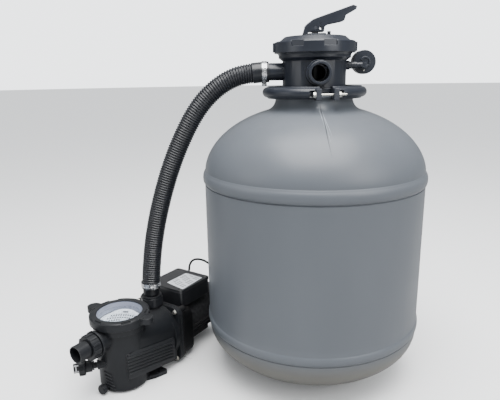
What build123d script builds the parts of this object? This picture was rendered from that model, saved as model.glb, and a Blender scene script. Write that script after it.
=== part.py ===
from build123d import *
import math
import os

# Top-mount sand filter with its self-priming pool pump, joined by a corrugated hose.
# Millimetres. Origin: centre of the tank's foot on the floor. +Z up, -Y towards the
# operator (the valve's open return port), the pump stands on the -X side.

# ---- tank -------------------------------------------------------------------
TANK_R = 271.5            # plain cylinder
BELT_R = 275.0            # moulded belts
WALL = 5.0
DISH_Z, DISH_H = 130.0, 125.0     # centre height and depth of the lower dish
DOME_Z, DOME_H = 520.0, 169.0     # centre height and rise of the dome
LOW_BELT_Z, LOW_BELT_HALF = 151.0, 13.0
TOP_BELT_HALF = 19.0
NECK_R, NECK_BORE_R = 93.0, 80.0
NECK_FOOT_Z, NECK_TOP_Z = 697.0, 715.0
LIP_R, LIP_H = 100.0, 9.0         # lips that the clamp holds together
BASE_R, BASE_IN_R, BASE_H = 128.0, 80.0, 26.0
BASE_FLOOR = 4.0
DRAIN_AZ, DRAIN_Z = 190.0, 30.0
DRAIN_OUT, DRAIN_R, DRAIN_BORE = 217.0, 10.5, 7.5
DRAIN_CAP_R, DRAIN_CAP_LEN = 15.5, 19.0
PIPE_R, PIPE_IN_R = 25.0, 22.0
HUB_R, HUB_Z, HUB_H = 40.0, 30.0, 46.0
LATERALS, LATERAL_R, LATERAL_END = 8, 12.5, 160.0
GASKET = 1.2              # squeezed thickness of the neck seal

# ---- multiport valve ---------------------------------------------------------
VALVE_TURN = 7.0          # the valve stands a little turned about the tank's axis
BODY_R, BODY_SIDES = 76.0, 18
BODY_TOP_Z = 820.0
SKIRT_R, SKIRT_Z = 85.5, 794.0
RIM_R = 89.5
CHAMBER_R, CHAMBER_Z = 62.5, 736.0
WEB_TOP_Z, WEB_T, WEBS, WEB_START = 780.0, 4.0, 6, 0.0
PORT_Z, PORT_R, PORT_BORE_R, PORT_BOSS_R = 763.5, 24.5, 19.5, 29.0
OPEN_PORT_Z = 759.5       # the return and waste ports sit a little below the hose stub
PORT_OUT, PORT_BOSS_OUT = 112.0, 90.0
SOCKET_DEPTH, PASSAGE_R, WASTE_BORE_R = 40.0, 16.5, 18.5
PORT_BORE_START, SUPPLY_R = 50.0, 14.0
HOSE_STUB_R, HOSE_STUB_OUT, HOSE_TAIL_R, HOSE_TAIL_OUT = 20.4, 109.0, 17.8, 134.0
CLAMP_RING_R, CLAMP_TUBE_R, CLAMP_SPLIT = 112.5, 12.0, -76.0
CLAMP_GAP, CLAMP_LUG_T, CLAMP_BOLT_R = 14.0, 12.0, 2.7
CLAMP_BOLT_OUT, CLAMP_BOLT_DROP = 8.0, 3.0
ROTOR_R, ROTOR_Z, ROTOR_H = 60.0, 782.6, 14.0
STEM_R, STEM_TOP_Z, PIN_Z, PIN_R = 8.0, 868.0, 862.0, 3.0
COVER_LIP_R, COVER_LIP_Z, COVER_LIP_T = 89.0, 821.2, 5.8
COVER_TOP_Z, COVER_TOP_R, COVER_BEVEL_R = 842.0, 71.5, 84.5
RING_R, RING_Z0, RING_Z1 = 95.8, 805.0, 831.0
RING_LUGS, RING_NOTCHES = (0, 90, 180), (-121, -75, 33, 60, 104, 132)
INDEX_R, INDEX_T = 33.0, 4.0
HANDLE_W = 24.0
GAUGE_X, GAUGE_Z, GAUGE_R, GAUGE_Y0, GAUGE_DEPTH = 119.0, 783.0, 28.0, 3.0, 24.0

# ---- hose ---------------------------------------------------------------------
HOSE_R, HOSE_IN_R = 23.5, 19.0
HOSE_ROUTE = [
    (-420.9, -63.3, 214.0), (-415.5, -60.6, 285.0), (-400.5, -57.2, 375.0), (-377.0, -53.2, 465.0),
    (-344.0, -48.3, 560.0), (-300.0, -41.7, 650.0), (-262.0, -36.0, 703.0), (-215.0, -28.9, 742.0),
    (-163.0, -21.1, 761.5), (-108.2, -13.3, 763.5),
]
BAND_W, BAND_T = 12.0, 0.9
PUMP_BAND_Z, HOSE_FOOT_Z = 226.0, 214.0

# ---- pump -----------------------------------------------------------------------
PUMP_X, PUMP_Y, PUMP_TURN = -470.0, -164.0, 64.0
POT_R, POT_IN_R, POT_Z, POT_TOP_Z = 61.0, 56.0, 4.0, 172.0
LID_RING_R, LID_RING_Z0, LID_RING_Z1 = 73.5, 174.0, 195.5
WINDOW_R, LID_R = 55.7, 64.0
LUG_REACH, LUG_W, LUG_H = 96.0, 34.0, 15.0
LUG_AZ = (-80, 100)
RIBS, RIB_TOP_Z, RIB_STEP, RIB_FALL = 6, 89.6, 8.7, 8.4
LOUVRE_AZ = 196
AXIS_Z = 85.0
SUCTION_Z, OUTLET_U, BOSS_R = 143.0, 112.0, 24.0
SUCTION_R, SUCTION_OUT0, SUCTION_OUT1 = 21.0, 107.0, 137.0
FLANGE_U, FLANGE_T, FLANGE_HALF_W, FLANGE_LOW, FLANGE_HIGH = 127.0, 9.0, 79.0, 5.0, 163.0
SEAL_U0, SEAL_U1 = FLANGE_U + FLANGE_T + 1.0, FLANGE_U + FLANGE_T + 7.0
VOLUTE_R = 82.0
BOLT_V, BOLT_W, BOLT_R = 66.0, 68.0, 3.0
BRACKET_U0, BRACKET_U1 = SEAL_U1 + 8.5, 190.0
MOTOR_R, MOTOR_WALL, MOTOR_U1 = 62.0, 3.5, 312.0
FAN_U1 = 340.0
SHAFT_R = 7.0
BOX_U0, BOX_U1, BOX_V0, BOX_V1, BOX_Z0, BOX_Z1 = 165.0, 288.0, -57.0, 62.0, 146.0, 187.0
LID_T = 8.0
GLAND_V, GLAND_Z = 48.0, 170.0
FOOT_T, FOOT_HOLE_U, FOOT_HOLE_V, FOOT_HOLE_R = 10.0, 62.0, 58.0, 4.5
GAP = 0.3                 # between pieces that turn on each other

# ---- mains lead --------------------------------------------------------------------
CABLE_R = 3.3
CABLE_ROUTE = [
    (-377.2, 135.7, 170.0), (-372.0, 146.5, 173.0), (-372.0, 152.0, 193.0), (-362.0, 156.0, 209.0),
    (-345.0, 166.0, 209.0), (-326.0, 181.0, 196.0), (-300.0, 200.0, 165.0), (-270.0, 222.0, 115.0),
    (-235.0, 250.0, 62.0), (-200.0, 278.0, 26.0), (-160.0, 306.0, 7.0), (-122.0, 328.0, 3.8),
    (-90.0, 339.5, 3.6), (-56.0, 341.5, 3.4),
]
COIL_X, COIL_Y, COIL_R, COIL_BAND, COIL_H = -56.0, 295.8, 39.0, 20.0, 20.2
PLUG_X, PLUG_Y, PLUG_Z, PLUG_TURN = -7.0, 288.6, 18.6, -72.0

PUMP = Location((PUMP_X, PUMP_Y, 0), (0, 0, PUMP_TURN))
VALVE = Location((0, 0, 0), (0, 0, VALVE_TURN))


# ---- small tools -------------------------------------------------------------------
def turned(*edges):
    """Solid of revolution about Z from edges drawn in the r-z plane."""
    wire = Curve() + list(edges)
    return revolve(Plane.XZ * make_face(wire), Axis.Z)


def outline(*points):
    """Closed straight-sided outline in the r-z plane."""
    return Polyline(*points, close=True)


def tube(outer, inner, z0, z1):
    """Plain tube about Z."""
    return Pos(0, 0, z0) * extrude(Circle(outer) - Circle(inner), z1 - z0)


def rod(radius, z0, z1):
    """Plain cylinder about Z."""
    return Pos(0, 0, z0) * extrude(Circle(radius), z1 - z0)


def block(x0, x1, y0, y1, z0, z1):
    """Box between two corners."""
    return Pos((x0 + x1) / 2, (y0 + y1) / 2, (z0 + z1) / 2) * Box(x1 - x0, y1 - y0, z1 - z0)


def along_x(shape):
    """Turns a shape made about +Z so that it lies about +X."""
    return Rot(0, 90, 0) * shape


def ring_of(count, shape, start=0.0):
    """Copies of a shape, evenly spaced about Z."""
    return [Rot(0, 0, start + 360 / count * i) * shape for i in range(count)]


def heading(azimuth, out, z):
    """Frame whose +Z points outwards at an azimuth from the axis, at a distance and height."""
    return Location((0, 0, z), (0, 0, azimuth)) * Pos(out, 0, 0) * Rot(0, 90, 0)


def save(name, shape):
    """Writes one sub-part to its own STEP file."""
    solids = [s for item in (shape if isinstance(shape, list) else [shape]) for s in item.solids()]
    export_step(solids[0] if len(solids) == 1 else Compound(children=solids), f"parts/{name}.step")


# ---- tank ----------------------------------------------------------------------------
def dish_angle(radius, half_width):
    return math.degrees(math.acos(radius / half_width))


def tank_profile():
    """Outer half outline of the tank, from the floor pole up to the top lip."""
    dome_from = math.degrees(math.asin(TOP_BELT_HALF / DOME_H))
    dome_to = dish_angle(116.0, TANK_R)
    belt_end = (TANK_R * math.cos(math.radians(dome_from)), DOME_Z + TOP_BELT_HALF)
    dome_end = (116.0, DOME_Z + DOME_H * math.sin(math.radians(dome_to)))
    low0, low1 = LOW_BELT_Z - LOW_BELT_HALF, LOW_BELT_Z + LOW_BELT_HALF
    lip_z = NECK_TOP_Z - LIP_H
    flat = dish_angle(BASE_IN_R, TANK_R)
    flat_z = DISH_Z - DISH_H * math.sin(math.radians(flat))
    return [
        EllipticalCenterArc((0, DISH_Z), TANK_R, DISH_H, -flat, arc_size=flat),
        Line((TANK_R, DISH_Z), (TANK_R, low0)),
        ThreePointArc((TANK_R, low0), (BELT_R, LOW_BELT_Z), (TANK_R, low1)),
        Line((TANK_R, low1), (TANK_R, DOME_Z - TOP_BELT_HALF)),
        ThreePointArc((TANK_R, DOME_Z - TOP_BELT_HALF), (BELT_R, DOME_Z), belt_end),
        EllipticalCenterArc((0, DOME_Z), TANK_R, DOME_H, dome_from, arc_size=dome_to - dome_from),
        ThreePointArc(dome_end, (99.5, 680.5), (NECK_R, NECK_FOOT_Z)),
        Polyline((NECK_R, NECK_FOOT_Z), (NECK_R, lip_z), (LIP_R, lip_z), (LIP_R, NECK_TOP_Z),
                 (0, NECK_TOP_Z), (0, flat_z), (BASE_IN_R, flat_z)),
    ]


def tank_hollow():
    """Space inside the shell, up through the neck."""
    half = TANK_R - WALL
    rise, drop = DOME_H - WALL, DISH_H - WALL
    end = dish_angle(NECK_BORE_R, half)
    flat_z = DISH_Z - drop * math.sin(math.radians(end))
    return turned(
        EllipticalCenterArc((0, DISH_Z), half, drop, -end, arc_size=end),
        Line((half, DISH_Z), (half, DOME_Z)),
        EllipticalCenterArc((0, DOME_Z), half, rise, 0, arc_size=end),
        Polyline((NECK_BORE_R, DOME_Z + rise * math.sin(math.radians(end))),
                 (NECK_BORE_R, NECK_TOP_Z + 1), (0, NECK_TOP_Z + 1), (0, flat_z), (NECK_BORE_R, flat_z)),
    )


def tank_shell():
    body = turned(*tank_profile())
    root = 148.0
    spigot = heading(DRAIN_AZ, root, DRAIN_Z) * rod(DRAIN_R, 0, DRAIN_OUT - root)
    bore = heading(DRAIN_AZ, root - 20, DRAIN_Z) * rod(DRAIN_BORE, 0, 120)
    return body + spigot - tank_hollow() - bore


def tank_base():
    """Low pedestal with a thin floor; its ring cups the dish."""
    return rod(BASE_R, 0, BASE_H) - rod(BASE_IN_R, BASE_FLOOR, BASE_H + 1) - turned(*tank_profile())


def drain_cap():
    start = DRAIN_OUT - DRAIN_CAP_LEN + 6
    cup = rod(DRAIN_CAP_R, 0, DRAIN_CAP_LEN) - rod(DRAIN_R + GAP, -1, DRAIN_CAP_LEN - 6 + GAP)
    grips = ring_of(10, block(DRAIN_CAP_R - 1, DRAIN_CAP_R + 1.2, -2, 2, 2, DRAIN_CAP_LEN - 2))
    return heading(DRAIN_AZ, start, DRAIN_Z) * (cup + grips)


def standpipe():
    return tube(PIPE_R, PIPE_IN_R, HUB_Z + 8, CHAMBER_Z - 10)


def lateral_hub():
    hub = rod(HUB_R, HUB_Z, HUB_Z + HUB_H) - rod(PIPE_R, HUB_Z + 8, HUB_Z + HUB_H + 1)
    for arm in ring_of(LATERALS, along_x(rod(7, 20, HUB_R + 1))):
        hub -= Pos(0, 0, HUB_Z + 22) * arm
    return hub


def laterals():
    """Slotted collector fingers on the tank floor."""
    finger = along_x(tube(LATERAL_R, LATERAL_R - 2.5, HUB_R, LATERAL_END) + rod(LATERAL_R, LATERAL_END, LATERAL_END + 4))
    slots = [block(60 + 18 * i, 62 + 18 * i, -20, 20, -LATERAL_R - 1, -LATERAL_R + 7) for i in range(5)]
    return ring_of(LATERALS, Pos(0, 0, HUB_Z + 22) * (finger - slots))


def valve_seals():
    """Neck seal under the valve and the ring seal under its cover."""
    neck = tube(LIP_R - 3, NECK_BORE_R + 3, NECK_TOP_Z, NECK_TOP_Z + GASKET)
    return [neck, VALVE * tube(80, 76, BODY_TOP_Z, COVER_LIP_Z)]


# ---- clamp between tank and valve --------------------------------------------------------
CLAMP_Z = NECK_TOP_Z + GASKET / 2


def clamp_bolt_frame(turn):
    """Frame of a clamp bolt; +Z runs across the gap, against the azimuth."""
    place = Pos(CLAMP_RING_R + CLAMP_BOLT_OUT, 0, CLAMP_Z - CLAMP_BOLT_DROP)
    return Rot(0, 0, turn) * place * Rot(90, 0, 0)


def clamp_halves():
    """Two half rings with a V-groove over the lips, ending in lugs at the front and back."""
    groove = LIP_H + GASKET / 2 + 0.1
    section = Pos(CLAMP_RING_R, CLAMP_Z) * Circle(CLAMP_TUBE_R)
    section += Pos(CLAMP_RING_R - 9, CLAMP_Z) * Rectangle(18, 2 * groove + 9)
    section -= Pos(LIP_R - 10.2, CLAMP_Z) * Rectangle(21, 2 * groove)
    ring = revolve(Plane.XZ * section, Axis.Z) - rod(NECK_R + 0.2, 600, 900)
    lug_end = CLAMP_GAP + CLAMP_LUG_T
    low, high = CLAMP_Z - 15, CLAMP_Z + 10
    lug = block(CLAMP_RING_R - 7, CLAMP_RING_R + 15, CLAMP_GAP, lug_end, low, high)
    seat = rod(9.5, lug_end, lug_end + 12) + rod(9.5, -lug_end - 12, -lug_end)
    for turn in (CLAMP_SPLIT, CLAMP_SPLIT + 180):
        ring -= Rot(0, 0, turn) * block(60, 140, -CLAMP_GAP, CLAMP_GAP, 600, 900)
        ring -= clamp_bolt_frame(turn) * seat
    halves = []
    for flip in (0, 180):
        side = Rot(0, 0, CLAMP_SPLIT + flip) * block(-200, 200, 0, 200, 600, 900)
        half = (ring & side) + Rot(0, 0, CLAMP_SPLIT + flip) * lug
        half += Rot(0, 0, CLAMP_SPLIT + flip + 180) * mirror(lug, Plane.XZ)
        for turn in (0, 180):
            half -= clamp_bolt_frame(CLAMP_SPLIT + turn) * rod(CLAMP_BOLT_R + GAP, -60, 60)
        halves.append(half)
    return halves


def clamp_fasteners():
    """Long bolt across each gap of the clamp, with its washer, and the nut on its thread."""
    reach = CLAMP_GAP + CLAMP_LUG_T
    shank = rod(CLAMP_BOLT_R, -reach - 18, reach + 2)
    head = Pos(0, 0, reach + 1.4) * extrude(RegularPolygon(6.5, 6), 4.6)
    washer = rod(7.5, reach, reach + 1.4)
    nut = Pos(0, 0, -reach - 5) * extrude(RegularPolygon(6.5, 6) - Circle(CLAMP_BOLT_R), 5.0)
    return [clamp_bolt_frame(CLAMP_SPLIT + turn) * piece
            for turn in (0, 180) for piece in (shank + head + washer, nut)]


# ---- valve -----------------------------------------------------------------------------------
def valve_body():
    z0 = NECK_TOP_Z + GASKET
    shell = Pos(0, 0, z0) * extrude(RegularPolygon(BODY_R, BODY_SIDES), SKIRT_Z - z0)
    shell += rod(LIP_R, z0, z0 + LIP_H) + rod(NECK_BORE_R - 1, NECK_TOP_Z - 12, z0)
    skirt = outline((0, SKIRT_Z - 8), (BODY_R - 2, SKIRT_Z - 8), (SKIRT_R, SKIRT_Z), (SKIRT_R, SKIRT_Z + 6),
                    (RIM_R - 1, SKIRT_Z + 10.5), (RIM_R, SKIRT_Z + 10.5), (RIM_R, BODY_TOP_Z), (0, BODY_TOP_Z))
    shell += turned(skirt)
    shell += ports() + gauge_boss()
    shell -= rod(CHAMBER_R, CHAMBER_Z, BODY_TOP_Z + 1)
    shell -= tube(NECK_BORE_R - 6, PIPE_R + 6, NECK_TOP_Z - 13, CHAMBER_Z - 6)
    shell -= rod(PIPE_R, NECK_TOP_Z - 13, CHAMBER_Z - 10) + rod(PIPE_IN_R, CHAMBER_Z - 11, CHAMBER_Z + 1)
    for bore in port_bores():
        shell -= bore
    web = block(PIPE_R, CHAMBER_R + 1, -WEB_T / 2, WEB_T / 2, CHAMBER_Z - 1, WEB_TOP_Z)
    hub = tube(PIPE_R + 4, PIPE_IN_R, CHAMBER_Z - 1, WEB_TOP_Z)
    supply = port_frame(180) * rod(SUPPLY_R, PIPE_IN_R, CHAMBER_R + 4)
    return VALVE * (shell + ring_of(WEBS, web, WEB_START) + hub - supply)


def port_frame(azimuth):
    """Frame of the hose stub at 180 degrees, or of an open port in front or behind."""
    return heading(azimuth, 0, PORT_Z if azimuth == 180 else OPEN_PORT_Z)


def ports():
    """Return port in front, waste port behind, pump stub at the left."""
    made = []
    for azimuth in (-90, 90):
        made.append(port_frame(azimuth) * rod(PORT_BOSS_R, 40, PORT_BOSS_OUT))
        made.append(port_frame(azimuth) * rod(PORT_R, 40, PORT_OUT))
    made.append(port_frame(180) * rod(HOSE_STUB_R, 40, HOSE_STUB_OUT))
    made.append(port_frame(180) * rod(HOSE_TAIL_R, 40, HOSE_TAIL_OUT))
    return made


def port_bores():
    """Pipe sockets of the return and waste ports, their passages, and the stub's bore."""
    made = []
    for azimuth, radius in ((-90, PORT_BORE_R), (90, WASTE_BORE_R)):
        made.append(port_frame(azimuth) * rod(radius, PORT_OUT - SOCKET_DEPTH, PORT_OUT + 1))
        made.append(port_frame(azimuth) * rod(PASSAGE_R, PORT_BORE_START, PORT_OUT))
    made.append(port_frame(180) * rod(HOSE_TAIL_R - 2.8, PORT_BORE_START, HOSE_TAIL_OUT + 1))
    return made


def gauge_boss():
    """Stub on the right side that the pressure gauge screws into."""
    return [Pos(0, -8, GAUGE_Z - 7) * along_x(rod(10.5, 60, 82)), Pos(0, -8, GAUGE_Z - 7) * along_x(rod(8.5, 60, 99))]


def spider_gasket():
    """Rubber seal on the webs, under the rotor."""
    ring = tube(CHAMBER_R - 0.5, CHAMBER_R - 6, WEB_TOP_Z, ROTOR_Z - GAP)
    ring += tube(PIPE_R + 4, PIPE_IN_R, WEB_TOP_Z, ROTOR_Z - GAP)
    spoke = block(PIPE_R, CHAMBER_R - 3, -WEB_T / 2, WEB_T / 2, WEB_TOP_Z, ROTOR_Z - GAP)
    ring += ring_of(WEBS, spoke, WEB_START)
    ledge = turned(outline((CHAMBER_R - 6, WEB_TOP_Z), (CHAMBER_R, WEB_TOP_Z), (CHAMBER_R, WEB_TOP_Z + 0.1)))
    return VALVE * (ring - ledge)


def valve_rotor():
    """Diverter disc with its passage, and the stem that carries the handle."""
    disc = rod(ROTOR_R, ROTOR_Z, ROTOR_Z + ROTOR_H)
    passage = Pos(43, 0, 0) * rod(11, ROTOR_Z - 1, ROTOR_Z + ROTOR_H + 1)
    groove = tube(PIPE_R + 2, 12, ROTOR_Z - 1, ROTOR_Z + 8) & block(0, 60, -60, 60, 0, 900)
    stem = rod(STEM_R, ROTOR_Z + ROTOR_H, STEM_TOP_Z)
    flats = [block(-20, 20, side * 7 - 3, side * 7 + 3, 850, 900) for side in (-1, 1)]
    eye = Pos(0, 0, PIN_Z) * Rot(90, 0, 0) * rod(PIN_R, -20, 20)
    return VALVE * (disc + stem - passage - groove - flats - eye)


def rotor_spring():
    """Compression spring between the rotor and the cover."""
    low, high, wire, coil = ROTOR_Z + ROTOR_H + 2.0, 817.5, 1.5, 15.0
    path = Pos(0, 0, low) * Helix(pitch=5.0, height=high - low - 2, radius=coil)
    start = Plane(origin=path @ 0, z_dir=path % 0)
    return VALVE * sweep(start * Circle(wire), path)


def valve_cover():
    """Bevelled lid of the valve, with the boss that guides the stem."""
    z0, z1 = COVER_LIP_Z, COVER_LIP_Z + COVER_LIP_T
    outer = outline((0, z0), (COVER_LIP_R, z0), (COVER_LIP_R, z1), (COVER_BEVEL_R, z1), (COVER_BEVEL_R, z1 + 4.5),
                    (COVER_TOP_R, COVER_TOP_Z), (0, COVER_TOP_Z))
    inner = outline((STEM_R + 4, z0 - 1), (66, z0 - 1), (66, COVER_TOP_Z - 8), (STEM_R + 4, COVER_TOP_Z - 8))
    shell = turned(outer) - turned(inner)
    shell += tube(CHAMBER_R - GAP, CHAMBER_R - 5, 804, z0 + 14)
    shell += tube(22, STEM_R + 2, 818, COVER_TOP_Z - 6)
    return VALVE * (shell - rod(STEM_R + 0.08, 700, 900))


def cover_lock_ring():
    """Castellated screw ring that holds the cover down."""
    ring = outline((RIM_R + GAP, RING_Z0), (RING_R, RING_Z0), (RING_R, RING_Z1 - 3), (RING_R - 3, RING_Z1),
                   (COVER_BEVEL_R + GAP, RING_Z1), (COVER_BEVEL_R + GAP, COVER_LIP_Z + COVER_LIP_T + 0.05),
                   (RIM_R + GAP, COVER_LIP_Z + COVER_LIP_T + 0.05))
    body = turned(ring)
    lug = block(RING_R - 2, RING_R + 3.2, -11, 11, RING_Z0 + 3, RING_Z1 - 2)
    pocket = block(RING_R + 0.4, RING_R + 5, -7, 7, RING_Z0 + 9, RING_Z1)
    notch = block(RING_R - 4.0, RING_R + 5, -15, 15, RING_Z0 + 13, RING_Z1 + 1)
    body -= [Rot(0, 0, a) * notch for a in RING_NOTCHES]
    return VALVE * (body + [Rot(0, 0, a) * (lug - pocket) for a in RING_LUGS])


def index_plate():
    """Pedestal under the handle, turning with it over the cover; its nib points to the position."""
    z0 = COVER_TOP_Z + GAP
    plate = rod(INDEX_R, z0, z0 + INDEX_T) + block(-16, 24, -15, 15, z0, z0 + 7)
    nib = block(INDEX_R - 4, INDEX_R + 4, -1.6, 1.6, z0 + 1, z0 + 12)
    return VALVE * (plate + nib - rod(STEM_R + 0.08, 800, 900))


def selector_handle():
    """Lever that lifts the rotor when its end is pressed down."""
    rim = [(-29, 847), (-24, 864), (-7, 879.4), (11, 885.5), (57, 900.5), (86, 910.4), (95, 907), (93, 900.5),
           (70, 888.2), (66.4, 876.2), (59.6, 874.2), (29, 868.5), (21, 863), (20, 852.6), (-16.8, 852.6), (-17.4, 847)]
    side = Plane.XZ * make_face(Polyline(*rim, close=True))
    lever = extrude(side, HANDLE_W / 2, both=True)
    lever = fillet(lever.edges().filter_by(Axis.Y).sort_by(Axis.X)[-3:], 2.0)
    cheek = block(-14, 14, -8.3, 8.3, 840, 872)
    hollow = block(18, 62, -HANDLE_W / 2 + 3, HANDLE_W / 2 - 3, 860, 884) & Pos(0, 0, -5) * lever
    eye = Pos(0, 0, PIN_Z) * Rot(90, 0, 0) * rod(PIN_R + 0.05, -30, 30)
    window = Pos(12.2, 0, 860) * Rot(90, 0, 0) * rod(3.2, -30, 30)
    return VALVE * (lever - cheek - hollow - eye - window)


def handle_pin():
    return VALVE * (Pos(0, 0, PIN_Z) * Rot(90, 0, 0) * rod(PIN_R, -HANDLE_W / 2 + 0.5, HANDLE_W / 2 - 0.5))


# ---- pressure gauge -------------------------------------------------------------------------
def gauge_frame():
    """+Z out of the dial, towards the back of the filter."""
    return VALVE * Location((GAUGE_X, GAUGE_Y0, GAUGE_Z), (-90, 0, 0))


def gauge_case():
    cup = rod(GAUGE_R, -2, GAUGE_DEPTH) - rod(GAUGE_R - 2.5, 1.5, GAUGE_DEPTH + 1)
    cup = fillet(cup.edges().group_by(Axis.Z)[0], 1.5)
    ridge = Pos(2, 0, -3.8) * extrude(Circle(13) - Circle(9), 2) - Pos(-12, 0, -3) * Box(12, 9, 9)
    stem = Pos(-13, 7, -11) * Rot(0, -90, 0) * rod(6.5, -6, 7) + Pos(-3, 7, -7) * Box(13, 13, 14)
    case = gauge_frame() * (cup + ridge + stem)
    post = gauge_frame() * (rod(2.0, 0, 8) + rod(0.77, 8, 12.9))
    return case + post


def gauge_dial():
    return gauge_frame() * tube(GAUGE_R - 2.8, 2.4, 10, 11)


def gauge_needle():
    plate = rod(3.6, 12.5, 14) + Pos(7.5, 0, 13.2) * Box(24, 1.6, 1.0)
    return gauge_frame() * Rot(0, 0, -135) * (plate - rod(0.8, 12, 13))


def gauge_lens():
    return gauge_frame() * rod(GAUGE_R - 2.5, GAUGE_DEPTH - 3.5, GAUGE_DEPTH - 1.5)


# ---- hose ------------------------------------------------------------------------------------
def smooth_route(points):
    """Straight runs joined by tangent arcs, each as large as its two runs allow."""
    knots = [Vector(*p) for p in points]
    radii = []
    for before, at, after in zip(knots, knots[1:], knots[2:]):
        turn = math.radians((at - before).get_angle(after - at))
        radii.append(0.45 * min((at - before).length, (after - at).length) / math.tan(turn / 2))
    print("radii", [round(r) for r in radii])
    return FilletPolyline(*points, radius=radii)


def route_tube(points, outer, inner=0.0):
    path = smooth_route(points)
    section = Plane(origin=path @ 0, z_dir=path % 0) * (Circle(outer) - Circle(inner) if inner else Circle(outer))
    made = sweep(section, path)
    ideal = path.length * math.pi * (outer ** 2 - inner ** 2)
    print("length", round(path.length, 1), "volume ratio", round(made.volume / ideal, 4))
    return made


def band_frames():
    """Where the two worm clamps sit: on the valve stub and on the pump's hose tail."""
    at_valve = VALVE * heading(180, 120.0, PORT_Z)
    at_pump = PUMP * Pos(OUTLET_U, 0, PUMP_BAND_Z)
    return [at_valve, at_pump]


def hose_clamp_bands():
    band = tube(HOSE_R + 0.3 + BAND_T, HOSE_R + 0.3, -BAND_W / 2, BAND_W / 2)
    return [place * band for place in band_frames()]


def hose_clamp_screws():
    """Worm screw in its housing, tangent to the band."""
    top = HOSE_R + 0.3 + BAND_T
    housing = block(-8, 8, top, top + 7, -BAND_W / 2 + 1, BAND_W / 2 - 1)
    screw = Pos(0, top + 3.5, 0) * along_x(rod(2.8, -12, 10) + Pos(0, 0, 10) * extrude(RegularPolygon(4, 6), 4))
    spins = (Rot(0, 0, -95), Rot(0, 0, 160))
    return [place * spin * (housing + screw) for place, spin in zip(band_frames(), spins)]


# ---- pump casing ------------------------------------------------------------------------------
def pump_housing():
    """Strainer pot, volute body, ports and foot in one moulding."""
    pot = rod(POT_R, POT_Z, POT_TOP_Z)
    pot = fillet(pot.edges().group_by(Axis.Z)[0], 7)
    collar = rod(66.5, POT_TOP_Z - 14, POT_TOP_Z) + tube(66.5, POT_IN_R, POT_TOP_Z, 181.0)
    waist = Plane.YZ.offset(5) * Pos(0, 86) * RectangleRounded(2 * POT_R - 1, 146, 30)
    skirt = Plane.YZ.offset(FLANGE_U - 8) * Pos(0, AXIS_Z) * RectangleRounded(146, 152, 56)
    throat = loft([waist, skirt]) + side_panels()
    rim = Pos(FLANGE_U - 14, 0, AXIS_Z) * along_x(rod(VOLUTE_R - 1, 0, 14))
    body = pot + collar + throat + rim + housing_flange()
    body += Pos(OUTLET_U, 0, 0) * rod(BOSS_R, 120, 167)
    body += Pos(0, 0, SUCTION_Z) * Rot(0, 0, 180) * along_x(rod(27, 40, 78) + rod(33, 78, 83) + rod(BOSS_R, 83, 97))
    body += foot() + side_ribs() + louvres() + cock_boss()
    return PUMP * (body - housing_hollow() - housing_holes())


def housing_flange():
    plate = Plane.YZ.offset(FLANGE_U) * Pos(0, (FLANGE_LOW + FLANGE_HIGH) / 2) * RectangleRounded(
        2 * FLANGE_HALF_W, FLANGE_HIGH - FLANGE_LOW, 24)
    return extrude(plate, FLANGE_T)


def bolt_spots():
    return [(side * BOLT_V, AXIS_Z + rise * BOLT_W) for side in (-1, 1) for rise in (-1, 1)]


def housing_hollow():
    """Water space: pot, passage to the impeller eye, volute and outlet."""
    pot = rod(POT_IN_R, POT_Z + 5, 182) - tube(POT_IN_R, 50.5, 158, 165.7)
    eye = Pos(0, 0, AXIS_Z) * along_x(rod(22, 40, 82))
    volute = Pos(0, 0, AXIS_Z) * along_x(rod(66, 76, FLANGE_U + FLANGE_T + 1))
    outlet = Pos(OUTLET_U, 0, 0) * rod(17.5, AXIS_Z, 168)
    suction = Pos(0, 0, SUCTION_Z) * Rot(0, 0, 180) * along_x(rod(17.5, 40, 98))
    return pot + eye + volute + outlet + suction


def housing_holes():
    bolts = [Pos(0, v, w) * along_x(rod(BOLT_R, FLANGE_U - 1, FLANGE_U + FLANGE_T + 1)) for v, w in bolt_spots()]
    feet = [Pos(FOOT_HOLE_U, side * FOOT_HOLE_V, 0) * rod(FOOT_HOLE_R, -1, FOOT_T + 1) for side in (-1, 1)]
    drain = Pos(-40, 0, 15) * Rot(0, 0, 180) * along_x(rod(7 + GAP, 0, 40))
    return bolts + feet + [drain, COCK * rod(4, -10, 20)]


def foot():
    """Flat foot with two screw holes, wider towards the motor, under solid webs."""
    edge = [(-4, -44), (20, -46), (46, -64), (77, -74), (82, -68), (82, 68), (77, 74), (46, 64), (20, 46), (-4, 44)]
    plate = extrude(make_face(Polyline(*edge, close=True)), FOOT_T)
    webs = [block(24, 78, side * 40 - 3, side * 40 + 3, 5, 40) for side in (-1, 1)]
    return plate + webs


def side_panels():
    """Flat cheeks that run from the pot's front to the flange on both sides."""
    plan = [(-36, 0), (-36, 53.5), (FLANGE_U - 8, 73.0), (FLANGE_U - 8, 0)]
    front = Plane.XZ * make_face(Polyline((-36, 38), (-36, 104), (0, 118), (FLANGE_U, 96), (FLANGE_U, 20), close=True))
    wedge = extrude(make_face(Polyline(*plan, close=True)), 200) & extrude(front, -200)
    return [wedge, mirror(wedge, Plane.XZ)]


def side_ribs():
    """Long ribs on both cheeks, falling a little towards the flange."""
    made = []
    for side in (-1, 1):
        for i in range(RIBS):
            place = Pos(36, side * 62.8, RIB_TOP_Z - RIB_STEP * i)
            made.append(place * Rot(0, RIB_FALL, 0) * Rot(0, 0, side * 7.2) * Box(144, 6, 3.2))
    return made


def louvres():
    """Short ribs low on the pot wall, towards the drain."""
    bar = Rot(-15, 0, 0) * block(POT_R - 3, POT_R + 1.8, -12, 12, -1.6, 1.6)
    return [Pos(0, 0, 17 + 9.5 * i) * Rot(0, 0, LOUVRE_AZ - 2 * i) * bar for i in range(5)]


COCK = Location((-56.0, 0.0, 78.0), (0, 0, 140.0)) * Rot(0, 90, 0)


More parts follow.
